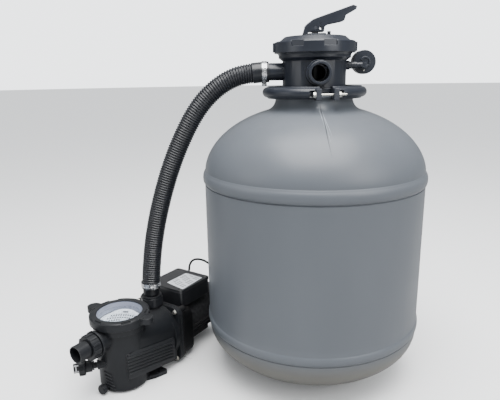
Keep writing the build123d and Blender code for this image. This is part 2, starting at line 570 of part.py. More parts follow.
def cock_boss():
    return COCK * (rod(9.0, -10, 20) + rod(11.5, 15, 19))


def strainer_basket():
    """Perforated basket with a rim and a carrying bridge."""
    wall = turned(outline((0, 52), (41, 52), (49, 166), (53, 166), (53, 169), (47, 169), (39, 54), (0, 54)))
    hole = Rot(90, 0, 0) * rod(2.2, -60, 60)
    wall -= [Pos(0, 0, 68 + 22 * j) * Rot(0, 0, 30 * i + 15 * (j % 2)) * hole for j in range(5) for i in range(6)]
    spots = [(x, y) for x in range(-30, 31, 10) for y in range(-30, 31, 10) if math.hypot(x, y) < 34]
    wall -= [Pos(x, y, 0) * rod(2.2, 50, 56) for x, y in spots]
    bridge = block(-47, 47, -4, 4, 163, 166) - block(-14, 14, -1.2, 1.2, 160, 170)
    return PUMP * (wall + bridge)


def strainer_lid():
    """Clear lid with a raised rim and a shallow well."""
    lid = outline((0, 182.0), (LID_R, 182.0), (LID_R, 186.5), (WINDOW_R - 1, 186.5), (WINDOW_R - 1, 193.0),
                  (WINDOW_R - 5, 193.0), (WINDOW_R - 9, 187), (0, 187))
    return PUMP * turned(lid)


def lid_oring():
    return PUMP * tube(63.0, 59.0, 181.1, 182.0)


def lid_lock_ring():
    """Screw ring with two grip lugs and notched top."""
    ring = outline((66.5 + GAP, LID_RING_Z0), (LID_RING_R, LID_RING_Z0), (LID_RING_R, LID_RING_Z1 - 3),
                   (LID_RING_R - 3, LID_RING_Z1), (WINDOW_R, LID_RING_Z1), (WINDOW_R, 187.0),
                   (66.5 + GAP, 187.0))
    body = turned(ring)
    grip = Pos(0, 0, LID_RING_Z1 - LUG_H - 1) * extrude(
        Pos(LID_RING_R - 2, 0) * SlotOverall(2 * (LUG_REACH - LID_RING_R + 2), LUG_W), LUG_H)
    grip -= rod(LID_RING_R - 2, 0, 300)
    notch = block(LID_RING_R - 8, LID_RING_R + 4, -11, 11, LID_RING_Z1 - 3, LID_RING_Z1 + 1)
    body -= [Rot(0, 0, a) * notch for a in (0, 60, 120, 180, 240, 300)]
    return PUMP * (body + [Rot(0, 0, a) * grip for a in LUG_AZ])


# ---- pump unions, plugs and cock ------------------------------------------------------------------
def suction_frame():
    return PUMP * Location((0, 0, SUCTION_Z), (0, 0, 180)) * Rot(0, 90, 0)


def outlet_frame():
    return PUMP * Pos(OUTLET_U, 0, 0)


def suction_tail():
    """Pipe end for the suction line, held by the union nut."""
    pipe = rod(SUCTION_R - 1.2, 99.0, SUCTION_OUT0) + rod(SUCTION_R, SUCTION_OUT0, SUCTION_OUT1)
    flange = rod(24.0, 97.6, 101.0)
    return suction_frame() * (pipe + flange - rod(18.0, 97, SUCTION_OUT1 + 1))


def suction_union_nut():
    nut = tube(29.0, 24.0 + GAP, 84.0, 106.0) - rod(22, 80, 110) + tube(29.0, SUCTION_R + GAP, 101.0 + GAP, 106.0)
    grips = ring_of(12, block(27.5, 31.0, -2.2, 2.2, 85.0, 105.0))
    return suction_frame() * (nut + grips)


def outlet_tail():
    """Hose tail above the outlet, with the collar that the hose butts on."""
    tail = rod(21.5, 168.5, 172.0) + rod(17.6, 172, 243) + tube(21.0, 17.6, 198.5, HOSE_FOOT_Z)
    return outlet_frame() * (tail - rod(15.0, 168, 244))


def outlet_union_nut():
    sleeve = tube(26.5, BOSS_R + GAP, 165.0, 173.0) + tube(26.5, 17.6 + GAP, 172.0 + GAP, 195.0)
    grip = Pos(0, 0, 168) * extrude(RegularPolygon(31.5, 6) - Circle(26), 22)
    return outlet_frame() * (sleeve + (grip & rod(29.5, 160, 200)))


def union_seals():
    face = tube(20.5, 17.5, 0, 0.6)
    return [suction_frame() * Pos(0, 0, 97) * face, outlet_frame() * Pos(0, 0, 167.3) * tube(20.5, 17.5, 0, 1.2)]


def drain_plug():
    shank = rod(7, 8, 26)
    cap = rod(11, 26, 38) + ring_of(8, block(10, 12.4, -1.6, 1.6, 27, 37))
    return PUMP * Pos(-40, 0, 15) * Rot(0, 0, 180) * along_x(shank + cap)


def cock_body():
    """Small sampling cock on the pot wall."""
    tail = rod(7.5, 20, 32) + rod(11.0, 27, 31) + rod(14.0, 32, 46)
    return PUMP * COCK * (tail - rod(4, 19, 36) - rod(5.5 + GAP, 35, 47))


def cock_knob():
    stem = rod(5.5, 36, 48)
    wheel = rod(18.0, 46.4, 62) + ring_of(8, block(17, 20, -3, 3, 47.5, 61))
    wing = block(-12, 12, -2.5, 2.5, 62, 75)
    return PUMP * COCK * (stem + wheel + wing)


# ---- hydraulics and motor -----------------------------------------------------------------------
def on_axis(shape):
    """Puts a shape made about +Z on the motor's axis."""
    return PUMP * Pos(0, 0, AXIS_Z) * along_x(shape)


def diffuser():
    """Guide casing round the impeller, sealed on the eye."""
    cone = tube(64, 58, 84, 121) + tube(64, 24, 84, 88) + tube(27, 22.5, 82, 88)
    vanes = ring_of(6, block(52, 60, -1.5, 1.5, 100, 121))
    return on_axis(cone + vanes)


def impeller():
    disc = rod(48, 112, 116) + tube(48, 20, 94, 96.5) + tube(22, 20, 90, 96.5) + rod(12, 96, 112)
    vane = block(10, 46.5, -1.3, 1.3, 96, 112.5)
    return on_axis(disc + ring_of(6, vane) - rod(SHAFT_R, 98, 117))


def shaft_seal():
    """Stationary ring of the mechanical seal."""
    return on_axis(tube(16, SHAFT_R + 0.3, 122, 133))


def seal_plate():
    """Plate that closes the wet end and carries the seal."""
    plate = Plane.YZ.offset(SEAL_U0) * Pos(0, (FLANGE_LOW + FLANGE_HIGH) / 2) * RectangleRounded(
        2 * FLANGE_HALF_W, FLANGE_HIGH - FLANGE_LOW, 24)
    body = extrude(plate, SEAL_U1 - SEAL_U0)
    body += Pos(0, 0, AXIS_Z) * along_x(rod(65.5, FLANGE_U, SEAL_U1) + rod(21, 118.5, SEAL_U1))
    body -= Pos(0, 0, AXIS_Z) * along_x(rod(16, 118, 133) + rod(SHAFT_R + 1.5, 117, SEAL_U1 + 1))
    body -= [Pos(0, v, w) * along_x(rod(BOLT_R, 110, 150)) for v, w in bolt_spots()]
    return PUMP * body


def housing_gasket():
    return on_axis(tube(78, 66.5, FLANGE_U + FLANGE_T, SEAL_U0))


def flange_bolts():
    """Screws through the casing flange, seal plate and bracket."""
    screw = rod(BOLT_R, FLANGE_U - 2, BRACKET_U0 + 8) + rod(6.5, FLANGE_U - 2, FLANGE_U)
    screw += Pos(0, 0, FLANGE_U - 6) * extrude(RegularPolygon(5.5, 6), 4.5)
    return [PUMP * Pos(0, v, w) * along_x(screw) for v, w in bolt_spots()]


def motor_bracket():
    """Cast bracket between the seal plate and the motor, with two upright ribs a side."""
    low, high, half = 9.0, 158.0, 76.0
    plate = Plane.YZ.offset(SEAL_U1) * Pos(0, (low + high) / 2) * RectangleRounded(2 * half, high - low, 20)
    body = extrude(plate, BRACKET_U0 - SEAL_U1)
    frame = Plane.YZ.offset(BRACKET_U0) * Pos(0, (low + 144) / 2) * RectangleRounded(2 * half - 6, 144 - low, 26)
    body += extrude(frame, BRACKET_U1 - BRACKET_U0)
    body -= Pos(0, 0, AXIS_Z) * along_x(rod(52, 149, 180) + rod(24, 130, 192))
    body -= [block(156, 168, side * 76 - 3, side * 76 + 3, 18, 118) for side in (-1, 1)]
    body -= [block(173, 185, side * 76 - 3, side * 76 + 3, 18, 118) for side in (-1, 1)]
    body += Pos(0, 0, AXIS_Z) * along_x(tube(30, 16.1, 176, BRACKET_U1))
    body += [Pos(0, side * 64, 149) * along_x(rod(9, SEAL_U1, 163)) for side in (-1, 1)]
    body -= [Pos(0, v, w) * along_x(rod(BOLT_R, 130, BRACKET_U0 + 8)) for v, w in bolt_spots()]
    return PUMP * body


def motor_shaft():
    shaft = rod(SHAFT_R, 98, 334) + rod(9.5, 186, 196) + rod(9.5, 290, 300)
    return on_axis(shaft)


def bearings():
    front = tube(16.0, SHAFT_R + 0.03, 177.5, 185.5)
    rear = tube(16.0, SHAFT_R + 0.03, 301.0, 309.0)
    return [on_axis(front), on_axis(rear)]


def motor_rotor():
    core = tube(30, 9.5, 205, 280) + tube(27, 9.5, 201, 285) + tube(12, SHAFT_R, 201, 285)
    return on_axis(core - rod(SHAFT_R, 190, 300))


def motor_stator():
    stack = tube(MOTOR_R - MOTOR_WALL, 30.5, 208, 277)
    winding = tube(50, 35, 200, 208) + tube(50, 35, 277, 287)
    return on_axis(stack + winding)


def motor_housing():
    """Finned cylinder with its rear end shield."""
    shell = tube(MOTOR_R, MOTOR_R - MOTOR_WALL, BRACKET_U1, MOTOR_U1)
    fins = [Rot(0, 0, a) * block(MOTOR_R - 1, MOTOR_R + 2.5, -1.1, 1.1, BRACKET_U1 + 8, MOTOR_U1 - 2)
            for a in range(-84, 85, 12)]
    fins += [Rot(0, 0, 180 - a) * block(MOTOR_R - 1, MOTOR_R + 2.5, -1.1, 1.1, BRACKET_U1 + 8, MOTOR_U1 - 2)
             for a in range(-36, 37, 72)]
    shield = tube(MOTOR_R, 16.0, 306.0, MOTOR_U1) + tube(22, 16.0, 301.0, 308.0)
    saddle = block(BRACKET_U1 + 1, BOX_U1 - 6, -40, 40, AXIS_Z + 52, BOX_Z0)
    saddle -= Pos(0, 0, AXIS_Z) * along_x(rod(MOTOR_R - 1, 100, 400))
    legs = [block(200, 296, side * 34 - 5, side * 34 + 5, 22.0, 38.0) for side in (-1, 1)]
    legs = [leg - Pos(0, 0, AXIS_Z) * along_x(rod(MOTOR_R - 1, 100, 400)) for leg in legs]
    seat = block(BOX_U0, BOX_U1, BOX_V0, BOX_V1, BOX_Z0, BOX_Z1)
    return PUMP * (Pos(0, 0, AXIS_Z) * along_x(shell + fins + shield) + saddle + legs - seat)


def cooling_fan():
    hub = tube(14, SHAFT_R, 318, 332)
    blades = ring_of(7, Pos(0, 0, 325) * Pos(29, 0, 0) * Rot(20, 0, 0) * Box(34, 2, 11))
    return on_axis(hub + (Part() + blades - rod(12, 300, 340)))


def fan_cover():
    """Cowl over the fan with a slotted rear face."""
    cowl = tube(MOTOR_R + 2, MOTOR_R + 0.2, 300, FAN_U1) + tube(MOTOR_R + 2, 50, FAN_U1 - 2, FAN_U1)
    cowl += rod(16, FAN_U1 - 2, FAN_U1) + tube(34, 31, FAN_U1 - 2, FAN_U1)
    cowl += ring_of(8, block(14, 52, -1.5, 1.5, FAN_U1 - 2, FAN_U1))
    lift = [Rot(0, 0, a) * block(MOTOR_R - 2, MOTOR_R + 2.6, -2, 2, 290, MOTOR_U1) for a in range(-180, 180, 12)]
    return on_axis(cowl - lift)


def terminal_box():
    outer = fillet(block(BOX_U0, BOX_U1, BOX_V0, BOX_V1, BOX_Z0, BOX_Z1).edges().filter_by(Axis.Z), 8)
    inner = block(BOX_U0 + 3, BOX_U1 - 3, BOX_V0 + 3, BOX_V1 - 3, BOX_Z0 + 8, BOX_Z1 + 1)
    hole = Pos(BOX_U1, GLAND_V, GLAND_Z) * along_x(rod(7.5, -5, 5))
    posts = [Pos(u, v, 0) * rod(5, BOX_Z0 + 4, BOX_Z1) for u, v in lid_screw_spots()]
    pilots = [Pos(u, v, 0) * rod(1.8, BOX_Z1 - 14, BOX_Z1 + 1) for u, v in lid_screw_spots()]
    return PUMP * (outer - inner - hole + posts - pilots)


def lid_screw_spots():
    return [(u, v) for u in (BOX_U0 + 9, BOX_U1 - 9) for v in (BOX_V0 + 9, BOX_V1 - 9)]


def terminal_box_lid():
    lid = block(BOX_U0 - 1.5, BOX_U1 + 1.5, BOX_V0 - 1.5, BOX_V1 + 1.5, BOX_Z1, BOX_Z1 + LID_T)
    lid = fillet(lid.edges().filter_by(Axis.Z), 9)
    lid = fillet(lid.edges().group_by(Axis.Z)[-1], 2)
    sinks = [Pos(u, v, 0) * (rod(1.8, 180, 200) + rod(4, BOX_Z1 + LID_T - 3, 200)) for u, v in lid_screw_spots()]
    return PUMP * (lid - sinks)


def box_lid_screws():
    screw = rod(1.8, BOX_Z1 - 12, BOX_Z1 + LID_T - 2.6) + rod(3.6, BOX_Z1 + LID_T - 3, BOX_Z1 + LID_T - 1)
    return [PUMP * Pos(u, v, 0) * screw for u, v in lid_screw_spots()]


def capacitor():
    """Start capacitor lying in the terminal box."""
    return PUMP * Pos(0, -22, BOX_Z0 + 24) * along_x(rod(14, BOX_U0 + 22, BOX_U1 - 22) + rod(4, BOX_U1 - 22, BOX_U1 - 16))


def cable_gland():
    """Nut and tapered strain relief where the lead leaves the box."""
    parts = rod(7.5, -2.8, 0) + rod(9.5, 0, 6) + Pos(0, 0, 6) * extrude(RegularPolygon(9, 6), 6)
    parts += turned(outline((0, 12), (6.5, 12), (4.2, 22), (0, 22)))
    return PUMP * Pos(BOX_U1, GLAND_V, GLAND_Z) * along_x(parts - rod(CABLE_R, -7, 23))


# ---- mains lead ---------------------------------------------------------------------------------
def cable_coil():
    """Outer shape of the put-away turns."""
    return Pos(COIL_X, COIL_Y, 0) * turned(outline(
        (COIL_R - COIL_BAND / 2, 0.5), (COIL_R + COIL_BAND / 2, 0.5), (COIL_R + COIL_BAND / 2, COIL_H - 3),
        (COIL_R + COIL_BAND / 2 - 3, COIL_H), (COIL_R - COIL_BAND / 2, COIL_H)))


def mains_plug():
    """Moulded two-pin plug with a strain relief, lying beside the coil."""
    grip = turned(outline((0, 20), (4.5, 20), (9, 34), (18, 40), (18.5, 62), (0, 62)))
    relief = turned(outline((0, 0), (4.2, 0), (6.0, 21), (0, 21)))
    pins = [Pos(side * 9.5, 0, 0) * rod(2.4, 62, 81) for side in (-1, 1)]
    body = grip + relief + pins
    place = Location((PLUG_X, PLUG_Y, PLUG_Z), (0, 0, PLUG_TURN)) * Rot(0, 90, 0)
    return place * body


NODES = {
    "tank_shell": tank_shell, "tank_base": tank_base, "tank_drain_cap": drain_cap, "standpipe": standpipe,
    "lateral_hub": lateral_hub, "laterals": laterals, "valve_seals": valve_seals, "clamp_halves": clamp_halves,
    "clamp_fasteners": clamp_fasteners, "valve_body": valve_body, "spider_gasket": spider_gasket,
    "valve_rotor": valve_rotor, "rotor_spring": rotor_spring, "valve_cover": valve_cover,
    "cover_lock_ring": cover_lock_ring, "index_plate": index_plate,
    "selector_handle": selector_handle, "handle_pin": handle_pin, "gauge_case": gauge_case,
    "gauge_dial": gauge_dial, "gauge_needle": gauge_needle, "gauge_lens": gauge_lens,
    "hose_clamp_bands": hose_clamp_bands, "hose_clamp_screws": hose_clamp_screws,
    "pump_housing": pump_housing, "strainer_basket": strainer_basket, "strainer_lid": strainer_lid,
    "lid_oring": lid_oring, "lid_lock_ring": lid_lock_ring, "suction_tail": suction_tail,
    "suction_union_nut": suction_union_nut, "outlet_tail": outlet_tail, "outlet_union_nut": outlet_union_nut,
    "union_seals": union_seals, "drain_plug": drain_plug, "cock_body": cock_body, "cock_knob": cock_knob,
    "diffuser": diffuser, "impeller": impeller, "shaft_seal": shaft_seal, "seal_plate": seal_plate,
    "housing_gasket": housing_gasket, "flange_bolts": flange_bolts, "motor_bracket": motor_bracket,
    "motor_shaft": motor_shaft, "bearings": bearings, "motor_rotor": motor_rotor, "motor_stator": motor_stator,
    "motor_housing": motor_housing, "cooling_fan": cooling_fan, "fan_cover": fan_cover,
    "terminal_box": terminal_box, "terminal_box_lid": terminal_box_lid, "box_lid_screws": box_lid_screws,
    "capacitor": capacitor, "cable_gland": cable_gland, "cable_coil": cable_coil, "mains_plug": mains_plug,
    "filter_hose": lambda: route_tube(HOSE_ROUTE, HOSE_R, HOSE_IN_R),
    "mains_cable": lambda: route_tube(CABLE_ROUTE, CABLE_R),
}

os.makedirs("parts", exist_ok=True)
for name, make in NODES.items():
    save(name, make())
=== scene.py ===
"""Looks of a top-mount sand filter set: tank, six-way valve, hose, strainer pump and mains lead."""

import logging
import math
from dataclasses import dataclass
from enum import Enum
from typing import Iterable, Sequence

import bmesh
import bpy
from mathutils import Matrix, Vector


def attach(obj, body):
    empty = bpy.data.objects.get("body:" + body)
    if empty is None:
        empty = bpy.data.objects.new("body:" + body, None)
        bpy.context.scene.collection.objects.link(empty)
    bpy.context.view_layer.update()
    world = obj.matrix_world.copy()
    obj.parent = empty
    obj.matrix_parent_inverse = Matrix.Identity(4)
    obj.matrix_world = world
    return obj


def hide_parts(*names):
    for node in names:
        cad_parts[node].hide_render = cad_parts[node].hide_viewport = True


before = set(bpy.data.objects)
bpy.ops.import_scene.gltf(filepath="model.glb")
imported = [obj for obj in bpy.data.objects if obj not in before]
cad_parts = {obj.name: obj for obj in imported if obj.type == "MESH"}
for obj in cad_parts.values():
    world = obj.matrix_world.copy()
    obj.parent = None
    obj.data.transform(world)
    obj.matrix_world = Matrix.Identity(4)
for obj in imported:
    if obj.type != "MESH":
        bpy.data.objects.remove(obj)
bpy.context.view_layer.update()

log = logging.getLogger("filter_set")
Point = tuple[float, float]
Colour = tuple[float, float, float]
BODY = "filter_set"


class Slot(Enum):
    """The record's material slots."""

    TANK = "tank_grey"
    CASING = "casing_black"
    PUMP = "pump_black"
    MOTOR = "motor_black"
    RUBBER = "rubber_black"
    HOSE = "hose_black"
    STEEL = "stainless"
    WHITE = "white_plastic"


class Axis(Enum):
    """Direction that a turned or drawn piece lies along in its own frame."""

    Z = "z"
    X = "x"
    Y = "y"

    def turn(self) -> Matrix:
        """Rotation that carries +Z onto this axis."""
        if self is Axis.X:
            return Matrix.Rotation(math.pi / 2, 4, "Y")
        if self is Axis.Y:
            return Matrix.Rotation(-math.pi / 2, 4, "X")
        return Matrix.Identity(4)


def at(x: float, y: float, z: float) -> Matrix:
    """Placement that only shifts."""
    return Matrix.Translation((x, y, z))


def spin(degrees: float) -> Matrix:
    """Rotation about +Z."""
    return Matrix.Rotation(math.radians(degrees), 4, "Z")


PUMP = at(-0.470, -0.164, 0.0) @ spin(64.0)
VALVE = spin(7.0)


# ---- mesh forming ---------------------------------------------------------------------------
def eased(corners: Sequence[Point], radius: float, steps: int = 4) -> list[Point]:
    """Rounds the corners of a closed outline.

    Args:
        corners: the outline's points in order.
        radius: how far from each corner the rounding starts.
        steps: segments in each rounding.

    Returns:
        The outline with every corner off the turning axis rounded.
    """
    made: list[Point] = []
    count = len(corners)
    for i, corner in enumerate(corners):
        here = Vector(corner)
        before, after = Vector(corners[i - 1]), Vector(corners[(i + 1) % count])
        if abs(here.x) < 1e-7:
            made.append(corner)
            continue
        start = here + (before - here).normalized() * min(radius, 0.45 * (before - here).length)
        end = here + (after - here).normalized() * min(radius, 0.45 * (after - here).length)
        for k in range(steps + 1):
            t = k / steps
            made.append(tuple((1 - t) ** 2 * start + 2 * t * (1 - t) * here + t * t * end))
    return made


def polygon(radius: float, sides: int, turn: float = 0.0) -> list[Point]:
    """Regular outline with its corners on a radius."""
    return [
        (radius * math.cos(2 * math.pi * i / sides + turn), radius * math.sin(2 * math.pi * i / sides + turn))
        for i in range(sides)
    ]


class Former:
    """Collects the surfaces of one piece and makes one mesh object of them."""

    def __init__(self) -> None:
        self.bm = bmesh.new()

    def _grid(self, rings: Sequence[Sequence[Vector]], closed: bool) -> None:
        """Joins rings of equal length with quads, each ring closed on itself."""
        rows = [[self.bm.verts.new(p) for p in ring] for ring in rings]
        last = len(rows) if closed else len(rows) - 1
        for i in range(last):
            low, high = rows[i], rows[(i + 1) % len(rows)]
            for j in range(len(low)):
                k = (j + 1) % len(low)
                self.bm.faces.new((low[j], low[k], high[k], high[j]))
        if not closed:
            self.bm.faces.new(list(reversed(rows[0])))
            self.bm.faces.new(rows[-1])

    def lathe(self, outline: Sequence[Point], place: Matrix = Matrix(), steps: int = 64) -> "Former":
        """Turns a closed outline of (radius, height) points about the placement's +Z."""
        rings = []
        for i in range(steps):
            a = 2 * math.pi * i / steps
            rings.append([place @ Vector((r * math.cos(a), r * math.sin(a), z)) for r, z in outline])
        self._grid(rings, True)
        return self

    def tube(
        self, path: Sequence[Vector], radii: Sequence[float], sides: int = 24, bore: float = 0.0
    ) -> "Former":
        """Lofts rings along a path.

        Args:
            path: centre points in order.
            radii: outer radius at each point.
            sides: points in a ring.
            bore: inner radius, or 0 for a solid with closed ends.

        Returns:
            This former, so that calls chain.
        """
        frames = travelling_frames(path)
        rings = [ring_at(f, r, sides) for f, r in zip(frames, radii)]
        if bore:
            rings += [ring_at(f, bore, sides) for f in reversed(frames)]
        self._grid(rings, bool(bore))
        return self

    def prism(
        self, outline: Sequence[Point], depth: float, place: Matrix = Matrix(), edge: float = 0.0
    ) -> "Former":
        """Raises an outline along the placement's +Z and breaks its edges."""
        low = [self.bm.verts.new(place @ Vector((x, y, 0))) for x, y in outline]
        high = [self.bm.verts.new(place @ Vector((x, y, depth))) for x, y in outline]
        faces = [self.bm.faces.new(list(reversed(low))), self.bm.faces.new(high)]
        for j in range(len(low)):
            k = (j + 1) % len(low)
            faces.append(self.bm.faces.new((low[j], low[k], high[k], high[j])))
        if edge:
            rims = {e for f in faces for e in f.edges}
            bmesh.ops.bevel(self.bm, geom=list(rims), offset=edge, segments=3, profile=0.5, affect="EDGES")
        return self

    def block(self, size: Sequence[float], place: Matrix = Matrix(), edge: float = 0.0005) -> "Former":
        """Block centred on the placement, with broken edges."""
        x, y, z = (s / 2 for s in size)
        return self.prism([(-x, -y), (x, -y), (x, y), (-x, y)], size[2], place @ at(0, 0, -z), edge)

    def piece(self, name: str, crease: float = 35.0) -> bpy.types.Object:
        """Makes the mesh object, smooth except where it turns more than the crease angle."""
        bmesh.ops.remove_doubles(self.bm, verts=self.bm.verts, dist=1e-6)
        flat = [f for f in self.bm.faces if f.calc_area() < 1e-13]
        bmesh.ops.delete(self.bm, geom=flat, context="FACES_ONLY")
        bmesh.ops.recalc_face_normals(self.bm, faces=self.bm.faces)
        mesh = bpy.data.meshes.new(name)
        self.bm.to_mesh(mesh)
        self.bm.free()
        mesh.shade_smooth()
        mesh.set_sharp_from_angle(angle=math.radians(crease))
        made = bpy.data.objects.new(name, mesh)
        bpy.context.scene.collection.objects.link(made)
        return made


def travelling_frames(path: Sequence[Vector]) -> list[Matrix]:
    """Frames along a path whose +Z follows it and which don't twist about it."""
    frames = []
    side = None
    for i, here in enumerate(path):
        ahead = (path[min(i + 1, len(path) - 1)] - path[max(i - 1, 0)]).normalized()
        if side is None:
            side = ahead.orthogonal().normalized()
        side = (side - ahead * side.dot(ahead)).normalized()
        across = ahead.cross(side)
        turn = Matrix((side, across, ahead)).transposed().to_4x4()
        frames.append(Matrix.Translation(here) @ turn)
    return frames


def ring_at(place: Matrix, radius: float, sides: int) -> list[Vector]:
    """Points of a circle about a frame's +Z."""
    return [place @ Vector((x, y, 0)) for x, y in polygon(radius, sides)]


def smooth_line(name: str, points: Iterable[Sequence[float]], thickness: float = 0.0) -> bpy.types.Object:
    """Open NURBS curve with these control points.

    Args:
        name: the curve's name.
        points: control points in metres.
        thickness: bevel depth, or 0 for a bare line.

    Returns:
        The curve object.
    """
    route = list(points)
    curve = bpy.data.curves.new(name, "CURVE")
    curve.dimensions = "3D"
    curve.resolution_u = 16
    spline = curve.splines.new("NURBS")
    spline.points.add(len(route) - 1)
    for knot, place in zip(spline.points, route):
        knot.co = (*place, 1.0)
    spline.order_u = 3
    spline.use_endpoint_u = True
    curve.bevel_depth = thickness
    curve.bevel_resolution = 5
    curve.use_fill_caps = thickness > 0
    made = bpy.data.objects.new(name, curve)
    bpy.context.scene.collection.objects.link(made)
    return made


def read_line(points: Iterable[Sequence[float]], step: float) -> list[Vector]:
    """Even points along the NURBS line of a route.

    Args:
        points: the route's control points.
        step: distance between the points read.

    Returns:
        Points from the route's start to its end.
    """
    line = smooth_line("route_line", points)
    mesh = bpy.data.meshes.new_from_object(line)
    dense = [v.co.copy() for v in mesh.vertices]
    bpy.data.objects.remove(line)
    bpy.data.meshes.remove(mesh)
    run = [0.0]
    for a, b in zip(dense, dense[1:]):
        run.append(run[-1] + (b - a).length)
    count = max(2, round(run[-1] / step))
    made, j = [], 0
    for i in range(count + 1):
        goal = run[-1] * i / count
        while j < len(run) - 2 and run[j + 1] < goal:
            j += 1
        share = (goal - run[j]) / max(run[j + 1] - run[j], 1e-9)
        made.append(dense[j].lerp(dense[j + 1], min(share, 1.0)))
    return made


# ---- finishes --------------------------------------------------------------------------------
class ShaderKit:
    """Node groups that more than one finish uses, each built once."""

    def __init__(self) -> None:
        self.tone = self._tone()
        self.skin = self._skin()
        self.dust = self._dust()
        self.rub = self._rub()

    @staticmethod
    def _group(name: str, inputs: Sequence[tuple[str, str, float]], outputs: Sequence[tuple[str, str]]) -> tuple:
        """Makes an empty group with its sockets, and returns it with its input and output nodes."""
        tree = bpy.data.node_groups.new(name, "ShaderNodeTree")
        for label, kind, value in inputs:
            socket = tree.interface.new_socket(label, in_out="INPUT", socket_type=kind)
            if kind == "NodeSocketFloat":
                socket.default_value = value
        for label, kind in outputs:
            tree.interface.new_socket(label, in_out="OUTPUT", socket_type=kind)
        return tree, tree.nodes.new("NodeGroupInput"), tree.nodes.new("NodeGroupOutput")

    @staticmethod
    def _noise(tree: bpy.types.NodeTree, vector: object, scale: object, detail: float) -> bpy.types.Node:
        """Noise texture fed by a vector and a scale socket or number."""
        noise = tree.nodes.new("ShaderNodeTexNoise")
        noise.inputs["Detail"].default_value = detail
        tree.links.new(vector, noise.inputs["Vector"])
        if isinstance(scale, (int, float)):
            noise.inputs["Scale"].default_value = scale
        else:
            tree.links.new(scale, noise.inputs["Scale"])
        return noise

    @staticmethod
    def _math(tree: bpy.types.NodeTree, operation: str, a: object, b: object, clamp: bool = False) -> object:
        """Math node on two sockets or numbers; returns its output."""
        node = tree.nodes.new("ShaderNodeMath")
        node.operation = operation
        node.use_clamp = clamp
        for socket, value in zip(node.inputs, (a, b)):
            if isinstance(value, (int, float)):
                socket.default_value = value
            else:
                tree.links.new(value, socket)
        return node.outputs[0]

    @staticmethod
    def _blend(tree: bpy.types.NodeTree, factor: object, a: object, b: object, mode: str = "MIX") -> object:
        """Colour mix; returns its output."""
        node = tree.nodes.new("ShaderNodeMix")
        node.data_type = "RGBA"
        node.blend_type = mode
        tree.links.new(factor, node.inputs["Factor"])
        for socket, value in ((node.inputs[6], a), (node.inputs[7], b)):
            if isinstance(value, tuple):
                socket.default_value = (*value, 1.0)
            else:
                tree.links.new(value, socket)
        return node.outputs[2]

    def _tone(self) -> bpy.types.NodeTree:
        """Slow shift between a colour and its shade, as pigment settles unevenly in a moulding."""
        sockets = [("Vector", "NodeSocketVector", 0), ("Colour", "NodeSocketColor", 0),
                   ("Shade", "NodeSocketColor", 0), ("Scale", "NodeSocketFloat", 12.0),
                   ("Amount", "NodeSocketFloat", 0.5)]
        tree, source, sink = self._group("pigment_shift", sockets, [("Colour", "NodeSocketColor")])
        noise = self._noise(tree, source.outputs["Vector"], source.outputs["Scale"], 5.0)
        spread = tree.nodes.new("ShaderNodeMapRange")
        spread.inputs["From Min"].default_value = 0.35
        spread.inputs["From Max"].default_value = 0.65
        tree.links.new(noise.outputs["Fac"], spread.inputs["Value"])
        share = self._math(tree, "MULTIPLY", spread.outputs[0], source.outputs["Amount"], True)
        mixed = self._blend(tree, share, source.outputs["Colour"], source.outputs["Shade"])
        tree.links.new(mixed, sink.inputs["Colour"])
        return tree

    def _skin(self) -> bpy.types.NodeTree:
        """Fine grain over a slow swell: gives a roughness that wanders and a surface normal."""
        sockets = [("Vector", "NodeSocketVector", 0), ("Grain Scale", "NodeSocketFloat", 900.0),
                   ("Grain Depth", "NodeSocketFloat", 0.00003), ("Swell Scale", "NodeSocketFloat", 25.0),
                   ("Swell Depth", "NodeSocketFloat", 0.0002), ("Roughness", "NodeSocketFloat", 0.4),
                   ("Spread", "NodeSocketFloat", 0.1)]
        outs = [("Roughness", "NodeSocketFloat"), ("Normal", "NodeSocketVector")]
        tree, source, sink = self._group("moulded_skin", sockets, outs)
        grain = self._noise(tree, source.outputs["Vector"], source.outputs["Grain Scale"], 3.0)
        swell = self._noise(tree, source.outputs["Vector"], source.outputs["Swell Scale"], 2.0)
        fine = self._math(tree, "MULTIPLY", grain.outputs["Fac"], source.outputs["Grain Depth"])
        slow = self._math(tree, "MULTIPLY", swell.outputs["Fac"], source.outputs["Swell Depth"])
        bump = tree.nodes.new("ShaderNodeBump")
        bump.inputs["Strength"].default_value = 1.0
        bump.inputs["Distance"].default_value = 1.0
        tree.links.new(self._math(tree, "ADD", fine, slow), bump.inputs["Height"])
        tree.links.new(bump.outputs["Normal"], sink.inputs["Normal"])
        centred = self._math(tree, "SUBTRACT", swell.outputs["Fac"], 0.5)
        wander = self._math(tree, "MULTIPLY", centred, source.outputs["Spread"])
        rough = self._math(tree, "ADD", source.outputs["Roughness"], wander, True)
        tree.links.new(rough, sink.inputs["Roughness"])
        return tree

    def _dust(self) -> bpy.types.NodeTree:
        """Dust that settles on what faces up, in patches."""
        sockets = [("Vector", "NodeSocketVector", 0), ("Colour", "NodeSocketColor", 0),
                   ("Dust", "NodeSocketColor", 0), ("Amount", "NodeSocketFloat", 0.2)]
        outs = [("Colour", "NodeSocketColor"), ("Mask", "NodeSocketFloat")]
        tree, source, sink = self._group("settled_dust", sockets, outs)
        geometry = tree.nodes.new("ShaderNodeNewGeometry")
        parts = tree.nodes.new("ShaderNodeSeparateXYZ")
        tree.links.new(geometry.outputs["Normal"], parts.inputs[0])
        facing = self._math(tree, "POWER", self._math(tree, "MAXIMUM", parts.outputs["Z"], 0.0), 3.0)
        patch = self._noise(tree, source.outputs["Vector"], 60.0, 6.0)
        share = self._math(tree, "MULTIPLY", facing, patch.outputs["Fac"])
        share = self._math(tree, "MULTIPLY", share, source.outputs["Amount"], True)
        mixed = self._blend(tree, share, source.outputs["Colour"], source.outputs["Dust"])
        tree.links.new(mixed, sink.inputs["Colour"])
        tree.links.new(share, sink.inputs["Mask"])
        return tree

